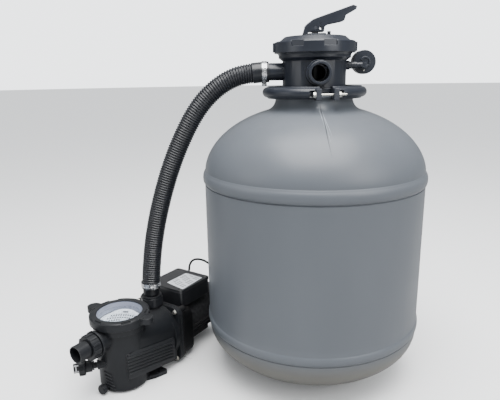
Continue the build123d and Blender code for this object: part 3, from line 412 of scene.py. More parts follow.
    def _rub(self) -> bpy.types.NodeTree:
        """Edges rubbed lighter where hands and hoses touch them."""
        sockets = [("Vector", "NodeSocketVector", 0), ("Colour", "NodeSocketColor", 0),
                   ("Rubbed", "NodeSocketColor", 0), ("Amount", "NodeSocketFloat", 0.5)]
        tree, source, sink = self._group("rubbed_edge", sockets, [("Colour", "NodeSocketColor")])
        geometry = tree.nodes.new("ShaderNodeNewGeometry")
        edge = tree.nodes.new("ShaderNodeMapRange")
        edge.inputs["From Min"].default_value = 0.52
        edge.inputs["From Max"].default_value = 0.62
        tree.links.new(geometry.outputs["Pointiness"], edge.inputs["Value"])
        patch = self._noise(tree, source.outputs["Vector"], 140.0, 4.0)
        share = self._math(tree, "MULTIPLY", edge.outputs[0], patch.outputs["Fac"])
        share = self._math(tree, "MULTIPLY", share, source.outputs["Amount"], True)
        mixed = self._blend(tree, share, source.outputs["Colour"], source.outputs["Rubbed"])
        tree.links.new(mixed, sink.inputs["Colour"])
        return tree


@dataclass(frozen=True)
class Finish:
    """A solid material: pigment, skin, dust and rubbed edges."""

    name: str
    colour: Colour
    shade: Colour
    roughness: float = 0.4
    spread: float = 0.15
    tone_scale: float = 14.0
    tone_amount: float = 0.6
    grain_scale: float = 1100.0
    grain_depth: float = 0.00002
    swell_scale: float = 22.0
    swell_depth: float = 0.0001
    dust: float = 0.15
    dust_colour: Colour = (0.25, 0.24, 0.22)
    rubbed: Colour = (0.16, 0.16, 0.17)
    rub_amount: float = 0.4
    metallic: float = 0.0
    specular: float = 0.5
    coat: float = 0.0
    sheen: float = 0.0
    stretch: Colour = (1.0, 1.0, 1.0)
    foot_colour: Colour | None = None

    def make(self, kit: ShaderKit) -> bpy.types.Material:
        """Builds the Blender material."""
        material = bpy.data.materials.new(self.name)
        material.use_nodes = True
        tree = material.node_tree
        shader = tree.nodes["Principled BSDF"]
        place = tree.nodes.new("ShaderNodeTexCoord")
        mapping = tree.nodes.new("ShaderNodeMapping")
        mapping.inputs["Scale"].default_value = self.stretch
        tree.links.new(place.outputs["Object"], mapping.inputs["Vector"])
        vector = mapping.outputs["Vector"]

        def stage(group: bpy.types.NodeTree, **values: object) -> bpy.types.Node:
            """Places a group and sets its inputs from sockets, colours or numbers."""
            node = tree.nodes.new("ShaderNodeGroup")
            node.node_tree = group
            tree.links.new(vector, node.inputs["Vector"])
            for label, value in values.items():
                socket = node.inputs[label.replace("_", " ")]
                if isinstance(value, bpy.types.NodeSocket):
                    tree.links.new(value, socket)
                else:
                    socket.default_value = (*value, 1.0) if isinstance(value, tuple) else value
            return node

        tone = stage(
            kit.tone, Colour=self.colour, Shade=self.shade, Scale=self.tone_scale, Amount=self.tone_amount)
        colour = tone.outputs["Colour"]
        if self.foot_colour:
            colour = self._foot_tint(tree, place.outputs["Object"], colour)
        rub = stage(kit.rub, Colour=colour, Rubbed=self.rubbed, Amount=self.rub_amount)
        dust = stage(kit.dust, Colour=rub.outputs["Colour"], Dust=self.dust_colour, Amount=self.dust)
        skin = stage(
            kit.skin, Grain_Scale=self.grain_scale, Grain_Depth=self.grain_depth, Swell_Scale=self.swell_scale,
            Swell_Depth=self.swell_depth, Roughness=self.roughness, Spread=self.spread)
        tree.links.new(dust.outputs["Colour"], shader.inputs["Base Color"])
        tree.links.new(skin.outputs["Roughness"], shader.inputs["Roughness"])
        tree.links.new(skin.outputs["Normal"], shader.inputs["Normal"])
        shader.inputs["Metallic"].default_value = self.metallic
        shader.inputs["Specular IOR Level"].default_value = self.specular
        shader.inputs["Coat Weight"].default_value = self.coat
        shader.inputs["Coat Roughness"].default_value = 0.12
        shader.inputs["Sheen Weight"].default_value = self.sheen
        return material

    def _foot_tint(self, tree: bpy.types.NodeTree, vector: bpy.types.NodeSocket, colour: object) -> object:
        """Browner, dusty tint low down on the dish."""
        parts = tree.nodes.new("ShaderNodeSeparateXYZ")
        tree.links.new(vector, parts.inputs[0])
        low = tree.nodes.new("ShaderNodeMapRange")
        low.inputs["From Min"].default_value = 0.142
        low.inputs["From Max"].default_value = 0.105
        tree.links.new(parts.outputs["Z"], low.inputs["Value"])
        return ShaderKit._blend(tree, low.outputs[0], colour, self.foot_colour)


@dataclass(frozen=True)
class Glass:
    """Clear moulded plastic that lets the lamps through."""

    name: str
    tint: Colour
    roughness: float = 0.08
    haze_scale: float = 40.0
    clearness: float = 0.94

    def make(self, kit: ShaderKit) -> bpy.types.Material:
        """Builds the Blender material."""
        material = bpy.data.materials.new(self.name)
        material.use_nodes = True
        tree = material.node_tree
        shader = tree.nodes["Principled BSDF"]
        shader.inputs["Base Color"].default_value = (*self.tint, 1.0)
        shader.inputs["Transmission Weight"].default_value = 1.0
        shader.inputs["IOR"].default_value = 1.45
        place = tree.nodes.new("ShaderNodeTexCoord")
        skin = tree.nodes.new("ShaderNodeGroup")
        skin.node_tree = kit.skin
        tree.links.new(place.outputs["Object"], skin.inputs["Vector"])
        for label, value in (("Swell Scale", self.haze_scale), ("Roughness", self.roughness), ("Spread", 0.08),
                             ("Grain Depth", 0.000004), ("Swell Depth", 0.00005)):
            skin.inputs[label].default_value = value
        tree.links.new(skin.outputs["Roughness"], shader.inputs["Roughness"])
        tree.links.new(skin.outputs["Normal"], shader.inputs["Normal"])
        clear = tree.nodes.new("ShaderNodeBsdfTransparent")
        clear.inputs["Color"].default_value = (*self.tint, 1.0)
        rays = tree.nodes.new("ShaderNodeLightPath")
        thin = tree.nodes.new("ShaderNodeMath")
        thin.operation = "MAXIMUM"
        thin.inputs[1].default_value = self.clearness
        tree.links.new(rays.outputs["Is Shadow Ray"], thin.inputs[0])
        choice = tree.nodes.new("ShaderNodeMixShader")
        tree.links.new(thin.outputs[0], choice.inputs["Fac"])
        tree.links.new(shader.outputs["BSDF"], choice.inputs[1])
        tree.links.new(clear.outputs["BSDF"], choice.inputs[2])
        tree.links.new(choice.outputs["Shader"], tree.nodes["Material Output"].inputs["Surface"])
        return material


FINISHES: dict[str, Finish | Glass] = {
    f.name: f
    for f in (
        Finish("tank_polyethylene", (0.094, 0.105, 0.120), (0.078, 0.087, 0.100), roughness=0.4, spread=0.22,
               tone_scale=5.0, grain_scale=700.0, grain_depth=0.000035, swell_scale=9.0, swell_depth=0.0011,
               dust=0.1, dust_colour=(0.3, 0.3, 0.3), rubbed=(0.3, 0.32, 0.35), rub_amount=0.3,
               stretch=(1.0, 1.0, 0.35), foot_colour=(0.115, 0.112, 0.1)),
        Finish("valve_abs", (0.010, 0.013, 0.020), (0.016, 0.019, 0.027), roughness=0.33, rub_amount=0.5,
               rubbed=(0.12, 0.125, 0.14), dust=0.08),
        Finish("pump_polypropylene", (0.007, 0.008, 0.010), (0.013, 0.014, 0.016), roughness=0.38,
               grain_depth=0.00004, dust=0.06, rubbed=(0.11, 0.11, 0.12), specular=0.28),
        Finish("motor_paint", (0.0025, 0.0028, 0.0035), (0.005, 0.005, 0.006), roughness=0.5, specular=0.18,
               grain_scale=600.0, grain_depth=0.00012, dust=0.1, rub_amount=0.3),
        Finish("box_abs", (0.005, 0.006, 0.008), (0.009, 0.010, 0.012), roughness=0.33, dust=0.12, rub_amount=0.5),
        Finish("lead_pvc", (0.01, 0.01, 0.011), (0.016, 0.016, 0.018), roughness=0.38, grain_depth=0.00001,
               dust=0.1, rub_amount=0.0),
        Finish("seal_rubber", (0.012, 0.012, 0.012), (0.02, 0.02, 0.02), roughness=0.6, rub_amount=0.0),
        Finish("hose_polyethylene", (0.007, 0.008, 0.011), (0.012, 0.014, 0.018), roughness=0.33,
               grain_depth=0.000012, dust=0.1, rubbed=(0.1, 0.105, 0.12), rub_amount=0.35),
        Finish("clamp_stainless", (0.62, 0.63, 0.64), (0.5, 0.5, 0.52), roughness=0.24, spread=0.2, metallic=1.0,
               grain_scale=2600.0, grain_depth=0.000012, swell_depth=0.00003, dust=0.05, rub_amount=0.0,
               stretch=(1.0, 1.0, 8.0)),
        Finish("plated_screw", (0.66, 0.65, 0.6), (0.52, 0.5, 0.45), roughness=0.28, metallic=1.0,
               grain_scale=1800.0, swell_depth=0.00002, dust=0.08, rub_amount=0.0),
        Finish("laminations", (0.3, 0.3, 0.31), (0.22, 0.21, 0.2), roughness=0.5, metallic=1.0, rub_amount=0.0,
               stretch=(6.0, 6.0, 1.0)),
        Finish("white_polypropylene", (0.78, 0.79, 0.8), (0.68, 0.69, 0.71), roughness=0.38, dust=0.05,
               dust_colour=(0.5, 0.47, 0.42), rubbed=(0.85, 0.85, 0.85), rub_amount=0.1),
        # Lighter grey for the lever's raised rims: a painted highlight along the lever's top edges.
        Finish("painted_crest_highlight", (0.11, 0.12, 0.14), (0.05, 0.055, 0.065), roughness=0.3, tone_scale=90.0, dust=0.0,
               rub_amount=0.0),
        # Dark grey for the tube in the dome's crease: painted shade.
        Finish("painted_crease_shade", (0.02, 0.022, 0.026), (0.04, 0.043, 0.05), roughness=0.6, dust=0.0, rub_amount=0.0),
        # Pale grey for the tubes along and beside the dome's crease: painted highlights.
        Finish("painted_crease_highlight", (0.24, 0.26, 0.285), (0.16, 0.175, 0.195), roughness=0.5, tone_scale=60.0, dust=0.0,
               rub_amount=0.0),
        Finish("lid_skirt_polycarbonate", (0.30, 0.31, 0.37), (0.22, 0.23, 0.29), roughness=0.2, rub_amount=0.0,
               dust=0.0),
        Finish("label_film", (0.74, 0.76, 0.79), (0.66, 0.69, 0.73), roughness=0.3, grain_depth=0.000004,
               swell_depth=0.00006, dust=0.05, rub_amount=0.0, coat=0.3),
        Finish("label_print", (0.05, 0.055, 0.065), (0.1, 0.105, 0.12), roughness=0.4, dust=0.0, rub_amount=0.0),
        Finish("filled_polyamide", (0.05, 0.05, 0.055), (0.08, 0.08, 0.085), roughness=0.45),
        Finish("seal_ceramic", (0.62, 0.58, 0.5), (0.55, 0.5, 0.42), roughness=0.2, rub_amount=0.0),
        Finish("needle_enamel", (0.5, 0.03, 0.02), (0.4, 0.02, 0.02), roughness=0.3, rub_amount=0.0),
        Glass("lid_polycarbonate", (0.93, 0.95, 0.97)),
    )
}

NODE_FINISH: dict[str, str] = {
    "tank_base": "valve_abs", "tank_drain_cap": "valve_abs", "clamp_halves": "valve_abs",
    "valve_body": "valve_abs", "cover_lock_ring": "valve_abs", "valve_cover": "valve_abs",
    "index_plate": "valve_abs", "selector_handle": "valve_abs", "gauge_case": "valve_abs",
    "pump_housing": "pump_polypropylene", "lid_lock_ring": "pump_polypropylene",
    "suction_tail": "pump_polypropylene", "suction_union_nut": "pump_polypropylene",
    "outlet_tail": "pump_polypropylene", "outlet_union_nut": "pump_polypropylene",
    "drain_plug": "pump_polypropylene", "cock_body": "pump_polypropylene", "cock_knob": "pump_polypropylene",
    "seal_plate": "pump_polypropylene", "motor_bracket": "motor_paint", "terminal_box": "box_abs",
    "terminal_box_lid": "box_abs", "fan_cover": "box_abs", "motor_housing": "motor_paint",
    "valve_seals": "seal_rubber", "spider_gasket": "seal_rubber", "lid_oring": "seal_rubber",
    "union_seals": "seal_rubber", "housing_gasket": "seal_rubber", "clamp_fasteners": "plated_screw",
    "rotor_spring": "clamp_stainless", "handle_pin": "valve_abs", "flange_bolts": "plated_screw",
    "motor_shaft": "clamp_stainless", "bearings": "clamp_stainless", "box_lid_screws": "plated_screw",
    "motor_rotor": "laminations", "motor_stator": "laminations", "strainer_basket": "white_polypropylene",
    "standpipe": "white_polypropylene", "lateral_hub": "white_polypropylene", "laterals": "white_polypropylene",
    "capacitor": "white_polypropylene", "gauge_dial": "white_polypropylene",
    "strainer_lid": "lid_polycarbonate", "gauge_lens": "lid_polycarbonate", "valve_rotor": "filled_polyamide",
    "diffuser": "filled_polyamide", "impeller": "filled_polyamide", "cooling_fan": "filled_polyamide",
    "shaft_seal": "seal_ceramic", "gauge_needle": "needle_enamel",
}


class Workshop:
    """Holds the built materials and fixes pieces to their bodies."""

    def __init__(self) -> None:
        self.kit = ShaderKit()
        self.materials = {name: finish.make(self.kit) for name, finish in FINISHES.items()}

    def fit(self, made: bpy.types.Object, finish: str, body: str) -> bpy.types.Object:
        """Dresses a piece, fixes it to a body and reports it.

        Args:
            made: the mesh or curve object.
            finish: name of its finish.
            body: the body it moves with.

        Returns:
            The same object.
        """
        made.data.materials.clear()
        made.data.materials.append(self.materials[finish])
        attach(made, body)
        log.info("piece %s in %s on %s", made.name, finish, body)
        return made

    def dress_frame(self) -> None:
        """Gives every carried-over part its finish and breaks the edges of the moulded ones."""
        for name, finish in NODE_FINISH.items():
            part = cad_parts[name]
            part.data.materials.clear()
            part.data.materials.append(self.materials[finish])
            if name in BROKEN_EDGES:
                break_edges(part, BROKEN_EDGES[name])
            log.info("part %s in %s", name, finish)


BROKEN_EDGES: dict[str, float] = {
    "valve_body": 0.0007, "cover_lock_ring": 0.0008, "valve_cover": 0.0008, "index_plate": 0.0006,
    "selector_handle": 0.0009, "gauge_case": 0.0005, "clamp_halves": 0.0009, "pump_housing": 0.0005,
    "lid_lock_ring": 0.0011, "suction_tail": 0.0005, "suction_union_nut": 0.0007, "outlet_tail": 0.0005,
    "outlet_union_nut": 0.0007, "drain_plug": 0.0005, "cock_body": 0.0005, "cock_knob": 0.0006,
    "seal_plate": 0.0008, "motor_bracket": 0.001, "terminal_box": 0.0008, "fan_cover": 0.0005,
    "flange_bolts": 0.0004, "clamp_fasteners": 0.0004, "tank_base": 0.001, "tank_drain_cap": 0.0006,
}


def break_edges(part: bpy.types.Object, width: float) -> None:
    """Rounds the sharp edges of a carried-over part a little, as its mould would."""
    if "custom_normal" in part.data.attributes:
        part.data.attributes.remove(part.data.attributes["custom_normal"])
    weld = part.modifiers.new("weld", "WELD")
    weld.merge_threshold = 1e-6
    bevel = part.modifiers.new("broken_edges", "BEVEL")
    bevel.width = width
    bevel.segments = 2
    bevel.limit_method = "ANGLE"
    bevel.angle_limit = math.radians(32)
    bevel.use_clamp_overlap = False
    part.modifiers.new("even_shading", "WEIGHTED_NORMAL")


# ---- studio ----------------------------------------------------------------------------------
@dataclass
class Studio:
    """Pale round floor, soft lamps and the camera."""

    eye: tuple[float, float, float] = (0.0, -1.217, 0.755)
    yaw: float = -7.5
    pitch: float = 14.3
    roll: float = -0.89
    lens: float = 35.064
    floor_radius: float = 40.0
    lamps: tuple = (
        ("top_softbox", (0.10, -0.60, 2.5), (0.0, 0.0, 0.3), 2.0, 130.0),
        ("right_softbox", (1.9, -1.5, 1.5), (0.1, 0.0, 0.5), 1.4, 30.0),
        ("left_softbox", (-2.2, -1.2, 1.1), (-0.3, 0.0, 0.3), 1.2, 9.0),
    )
    seen: float = 3.2
    mirrored: float = 0.28
    horizon: float = 0.3
    zenith: float = 2.0
    floor_albedo: float = 0.92
    floor_bounce: float = 0.42

    def camera(self) -> None:
        """Camera at the height and turn that the set is looked at from."""
        yaw, pitch, roll = (math.radians(a) for a in (self.yaw, self.pitch, self.roll))
        ahead = Vector((math.sin(yaw) * math.cos(pitch), math.cos(yaw) * math.cos(pitch), -math.sin(pitch)))
        level = Vector((math.cos(yaw), -math.sin(yaw), 0.0))
        top = level.cross(ahead)
        side = level * math.cos(roll) + top * math.sin(roll)
        up = top * math.cos(roll) - level * math.sin(roll)
        data = bpy.data.cameras.new("camera")
        data.lens = self.lens
        data.sensor_width = 36.0
        camera = bpy.data.objects.new("camera", data)
        bpy.context.scene.collection.objects.link(camera)
        turn = Matrix((side, up, -ahead)).transposed().to_4x4()
        camera.matrix_world = Matrix.Translation(self.eye) @ turn
        bpy.context.scene.camera = camera

    def floor(self) -> None:
        """Round pale floor with a faint mottle."""
        former = Former()
        former.lathe([(0.0, -0.02), (self.floor_radius, -0.02), (self.floor_radius, 0.0), (0.0, 0.0)], steps=96)
        made = former.piece("studio_floor")
        material = bpy.data.materials.new("pale_floor")
        material.use_nodes = True
        tree = material.node_tree
        shader = tree.nodes["Principled BSDF"]
        noise = tree.nodes.new("ShaderNodeTexNoise")
        noise.inputs["Scale"].default_value = 0.8
        ramp = tree.nodes.new("ShaderNodeMapRange")
        ramp.inputs["To Min"].default_value = self.floor_albedo - 0.03
        ramp.inputs["To Max"].default_value = self.floor_albedo
        tree.links.new(noise.outputs["Fac"], ramp.inputs["Value"])
        rays = tree.nodes.new("ShaderNodeLightPath")
        choice = tree.nodes.new("ShaderNodeMix")
        choice.inputs[2].default_value = self.floor_bounce
        tree.links.new(rays.outputs["Is Camera Ray"], choice.inputs[0])
        tree.links.new(ramp.outputs[0], choice.inputs[3])
        tree.links.new(choice.outputs[0], shader.inputs["Base Color"])
        shader.inputs["Roughness"].default_value = 0.9
        shader.inputs["Specular IOR Level"].default_value = 0.1
        made.data.materials.append(material)

    def lights(self) -> None:
        """White surroundings and three large soft lamps."""
        bpy.context.scene.world = self.surroundings()
        for name, place, aim, size, power in self.lamps:
            data = bpy.data.lights.new(name, "AREA")
            data.shape = "SQUARE"
            data.size = size
            data.energy = power
            lamp = bpy.data.objects.new(name, data)
            bpy.context.scene.collection.objects.link(lamp)
            lamp.location = place
            lamp.rotation_mode = "QUATERNION"
            lamp.rotation_quaternion = (Vector(aim) - Vector(place)).to_track_quat("-Z", "Y")

    def surroundings(self) -> bpy.types.World:
        """Room that is bright to look at, brightest overhead and dim in reflections."""
        world = bpy.data.worlds.new("white_room")
        world.use_nodes = True
        tree = world.node_tree
        rays = tree.nodes.new("ShaderNodeLightPath")
        place = tree.nodes.new("ShaderNodeTexCoord")
        parts = tree.nodes.new("ShaderNodeSeparateXYZ")
        tree.links.new(place.outputs["Generated"], parts.inputs[0])
        sky = tree.nodes.new("ShaderNodeMapRange")
        sky.inputs["To Min"].default_value = self.horizon
        sky.inputs["To Max"].default_value = self.zenith
        tree.links.new(parts.outputs["Z"], sky.inputs["Value"])
        glossy = tree.nodes.new("ShaderNodeMix")
        glossy.inputs[3].default_value = self.mirrored
        tree.links.new(rays.outputs["Is Glossy Ray"], glossy.inputs[0])
        tree.links.new(sky.outputs[0], glossy.inputs[2])
        looked_at = tree.nodes.new("ShaderNodeMix")
        looked_at.inputs[3].default_value = self.seen
        tree.links.new(rays.outputs["Is Camera Ray"], looked_at.inputs[0])
        tree.links.new(glossy.outputs[0], looked_at.inputs[2])
        background = tree.nodes["Background"]
        background.inputs["Color"].default_value = (0.95, 0.975, 1.0, 1.0)
        tree.links.new(looked_at.outputs[0], background.inputs["Strength"])
        return world

    def build(self) -> None:
        """Sets the whole studio."""
        self.camera()
        self.floor()
        self.lights()


# ---- hose and lead -----------------------------------------------------------------------------
@dataclass
class FilterHose:
    """Corrugated hose from the pump's outlet to the valve, with a worm clamp at each end."""

    route: tuple = (
        (-0.4209, -0.0633, 0.214), (-0.4155, -0.0606, 0.285), (-0.4005, -0.0572, 0.375),
        (-0.377, -0.0532, 0.465), (-0.344, -0.0483, 0.560), (-0.300, -0.0417, 0.650),
        (-0.262, -0.036, 0.703), (-0.215, -0.0289, 0.742), (-0.163, -0.0211, 0.7615), (-0.1082, -0.0133, 0.7635),
    )
    pitch: float = 0.0061
    crest: float = 0.0239
    root: float = 0.0212
    bore: float = 0.0190
    low_cuff: float = 0.021
    top_cuff: float = 0.041
    top_cuff_r: float = 0.0242
    low_cuff_r: float = 0.0238
    length: float = 0.693
    sides: int = 56
    steps_per_rib: int = 8

    def radius(self, run: float, whole: float) -> float:
        """Outer radius at a distance along the hose: smooth cuffs, rounded ribs between them."""
        if run < self.low_cuff:
            return self.low_cuff_r
        left = whole - run
        if left < self.top_cuff:
            step = min(1.0, (self.top_cuff - left) / 0.0015)
            return self.root + (self.top_cuff_r - self.root) * step
        wave = 0.5 + 0.5 * math.cos(2 * math.pi * (run - self.low_cuff) / self.pitch)
        return self.root + (self.crest - self.root) * wave ** 0.7

    def build(self, shop: Workshop) -> None:
        """Makes the hose and both clamps."""
        path = read_line(self.route, self.pitch / self.steps_per_rib)
        whole = sum((b - a).length for a, b in zip(path, path[1:]))
        radii = [self.radius(whole * i / (len(path) - 1), whole) for i in range(len(path))]
        hose = Former().tube(path, radii, self.sides, self.bore).piece("corrugated_hose", 50)
        shop.fit(hose, "hose_polyethylene", BODY)
        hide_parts("filter_hose")
        stub = VALVE @ at(-0.120, 0, 0.7635) @ Matrix.Rotation(-math.pi / 2, 4, "Y")
        clamps = [
            self.clamp(shop, "valve_hose_clamp", stub, self.top_cuff_r, 85.0),
            self.clamp(shop, "pump_hose_clamp", PUMP @ at(0.112, 0, 0.226), self.low_cuff_r, 160.0),
        ]
        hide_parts("hose_clamp_bands", "hose_clamp_screws")

    def clamp(self, shop: Workshop, name: str, place: Matrix, radius: float, turn: float) -> bpy.types.Object:
        """Perforated worm-drive band with its housing and screw."""
        band = Former()
        low = radius + 0.00025
        rows = [(low, -0.006), (low + 0.0011, -0.0057), (low + 0.0008, -0.0042), (low + 0.0008, 0.0042),
                (low + 0.0011, 0.0057), (low, 0.006)]
        band.lathe(eased(rows, 0.0003, 2), place, 96)
        for i in range(17):
            slot = place @ spin(turn + 100 + i * 9.5) @ at(low + 0.00105, 0, 0)
            band.block((0.0006, 0.0016, 0.0074), slot @ Matrix.Rotation(math.radians(12), 4, "X"), 0.0002)
        house = place @ spin(turn) @ at(0, low + 0.0008, 0)
        shell = [(-0.0085, 0), (0.0085, 0), (0.0085, 0.003), (0.006, 0.0074), (-0.006, 0.0074), (-0.0085, 0.003)]
        band.prism(shell, 0.0118, house @ at(0, 0, -0.0059), 0.0008)
        screw = house @ at(0, 0.0037, 0) @ Axis.X.turn()
        band.lathe(eased([(0.0, -0.0135), (0.0029, -0.0135), (0.0029, 0.0105), (0.0, 0.0105)], 0.0006), screw, 24)
        band.prism(polygon(0.0042, 6), 0.0045, screw @ at(0, 0, 0.0095), 0.0005)
        band.lathe(eased([(0.0, 0.0093), (0.0052, 0.0093), (0.0052, 0.0101), (0.0, 0.0101)], 0.0002), screw, 24)
        return shop.fit(band.piece(name), "clamp_stainless", BODY)


@dataclass
class MainsLead:
    """Rubber lead that arches out of the terminal box and is put away in a coil behind the tank."""

    route: tuple = (
        (-0.3772, 0.1357, 0.170), (-0.372, 0.1465, 0.173), (-0.372, 0.152, 0.193), (-0.362, 0.156, 0.209),
        (-0.345, 0.166, 0.209), (-0.326, 0.181, 0.196), (-0.300, 0.200, 0.165), (-0.270, 0.222, 0.115),
        (-0.235, 0.250, 0.062), (-0.200, 0.278, 0.026), (-0.160, 0.306, 0.007), (-0.122, 0.328, 0.0038),
        (-0.090, 0.3395, 0.0036), (-0.056, 0.3415, 0.0034),
    )
    radius: float = 0.0033
    coil_centre: Point = (-0.056, 0.2958)
    outer_turn: float = 0.0457
    inner_turn: float = 0.0323
    layer: float = 0.0066
    turns: float = 5.2
    knots_per_turn: int = 14
    plug_run: float = 0.022
    length: float = 1.80

    def turn_at(self, t: float) -> tuple[float, float]:
        """Radius and height of the lead after t turns: in, up, out, up and in again."""
        wide, tight, low = self.outer_turn, self.inner_turn, self.route[-1][2]
        if t < 2.0:
            return wide + (tight - wide) * t / 2, low
        if t < 2.5:
            return tight, low + self.layer * (t - 2.0) / 0.5
        if t < 4.5:
            return tight + (wide - tight) * (t - 2.5) / 2, low + self.layer
        if t < 5.0:
            return wide, low + self.layer * (1 + (t - 4.5) / 0.5)
        return wide - 0.0067 * (t - 5.0), low + 2 * self.layer

    def coil(self) -> list[Vector]:
        """Control points of the put-away turns, clockwise seen from above."""
        points = []
        count = round(self.turns * self.knots_per_turn)
        swell = 1 / math.cos(math.pi / self.knots_per_turn)
        for i in range(1, count + 1):
            t = i * self.turns / count
            r, z = self.turn_at(t)
            a = math.radians(90 - 360 * t)
            points.append(Vector((self.coil_centre[0] + r * (1 + (swell - 1) / 2) * math.cos(a),
                                  self.coil_centre[1] + r * (1 + (swell - 1) / 2) * math.sin(a), z)))
        return points

    def plug_frame(self) -> Matrix:
        """Where the plug's strain relief begins, +Z towards the pins."""
        a = math.radians(90 - 360 * self.turns)
        r, z = self.turn_at(self.turns)
        ahead = Vector((math.sin(a), -math.cos(a), 0.0))
        end = Vector((self.coil_centre[0] + r * math.cos(a), self.coil_centre[1] + r * math.sin(a), 0.0186))
        place = end + ahead * self.plug_run
        side = Vector((0, 0, 1)).cross(ahead)
        turn = Matrix((side, ahead.cross(side), ahead)).transposed().to_4x4()
        return Matrix.Translation(place) @ turn

    def build(self, shop: Workshop) -> None:
        """Makes the lead, its strain relief and its plug."""
        plug_at = self.plug_frame()
        mouth = plug_at @ Vector((0, 0, 0.002))
        before = plug_at @ Vector((0, 0, -0.010))
        points = [Vector(p) for p in self.route] + self.coil() + [before, mouth]
        lead = smooth_line("mains_lead", points, self.radius)
        shop.fit(lead, "lead_pvc", BODY)
        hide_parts("mains_cable", "cable_coil")
        relief = self.relief(shop)
        plug = self.plug(shop, plug_at)

    def relief(self, shop: Workshop) -> bpy.types.Object:
        """Gland nut and ribbed, tapered strain relief on the box."""
        gland = PUMP @ at(0.288, 0.048, 0.170) @ Axis.X.turn()
        made = Former()
        made.lathe(eased([(0.0034, 0), (0.0105, 0), (0.0105, 0.005), (0.0034, 0.005)], 0.0008), gland, 40)
        made.prism(polygon(0.0098, 6), 0.007, gland @ at(0, 0, 0.005), 0.0008)
        ribs = [(0.0034, 0.0115), (0.0066, 0.0115)]
        for i in range(5):
            z = 0.013 + i * 0.0028
            r = 0.0066 - i * 0.0004
            ribs += [(r, z), (r, z + 0.0014), (r - 0.0011, z + 0.0017), (r - 0.0011, z + 0.0025)]
        ribs += [(0.0043, 0.0275), (0.0034, 0.0275)]
        made.lathe(eased(ribs, 0.0003, 2), gland, 40)
        piece = shop.fit(made.piece("gland_strain_relief"), "lead_pvc", BODY)
        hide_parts("cable_gland")
        return piece

    def plug(self, shop: Workshop, place: Matrix) -> bpy.types.Object:
        """Moulded plug with a ribbed relief, a grip waist and two pins."""
        made = Former()
        relief = [(0.0, 0.0), (0.0043, 0.0)]
        for i in range(5):
            r = 0.0046 + i * 0.0004
            relief += [(r, 0.002 + i * 0.004), (r, 0.0045 + i * 0.004), (r - 0.0011, 0.0048 + i * 0.004),
                       (r - 0.0011, 0.0058 + i * 0.004)]
        relief += [(0.008, 0.0235), (0.0, 0.0235)]
        made.lathe(eased(relief, 0.0003, 2), place, 32)
        grip = [(0.0, 0.022), (0.008, 0.022), (0.0095, 0.033), (0.0135, 0.040), (0.0176, 0.044), (0.0181, 0.0585),
                (0.0174, 0.062), (0.0, 0.062)]
        made.lathe(eased(grip, 0.0012), place, 48)
        for i in range(14):
            rib = place @ spin(360 / 14 * i) @ at(0.0179, 0, 0.0515)
            made.block((0.0012, 0.0022, 0.011), rib, 0.0004)
        for side in (-1, 1):
            pin = place @ at(side * 0.0095, 0, 0)
            made.lathe(eased([(0.0, 0.061), (0.0024, 0.061), (0.0024, 0.0805), (0.0, 0.081)], 0.0009), pin, 24)
        piece = shop.fit(made.piece("mains_plug_moulding"), "lead_pvc", BODY)
        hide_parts("mains_plug")
        return piece


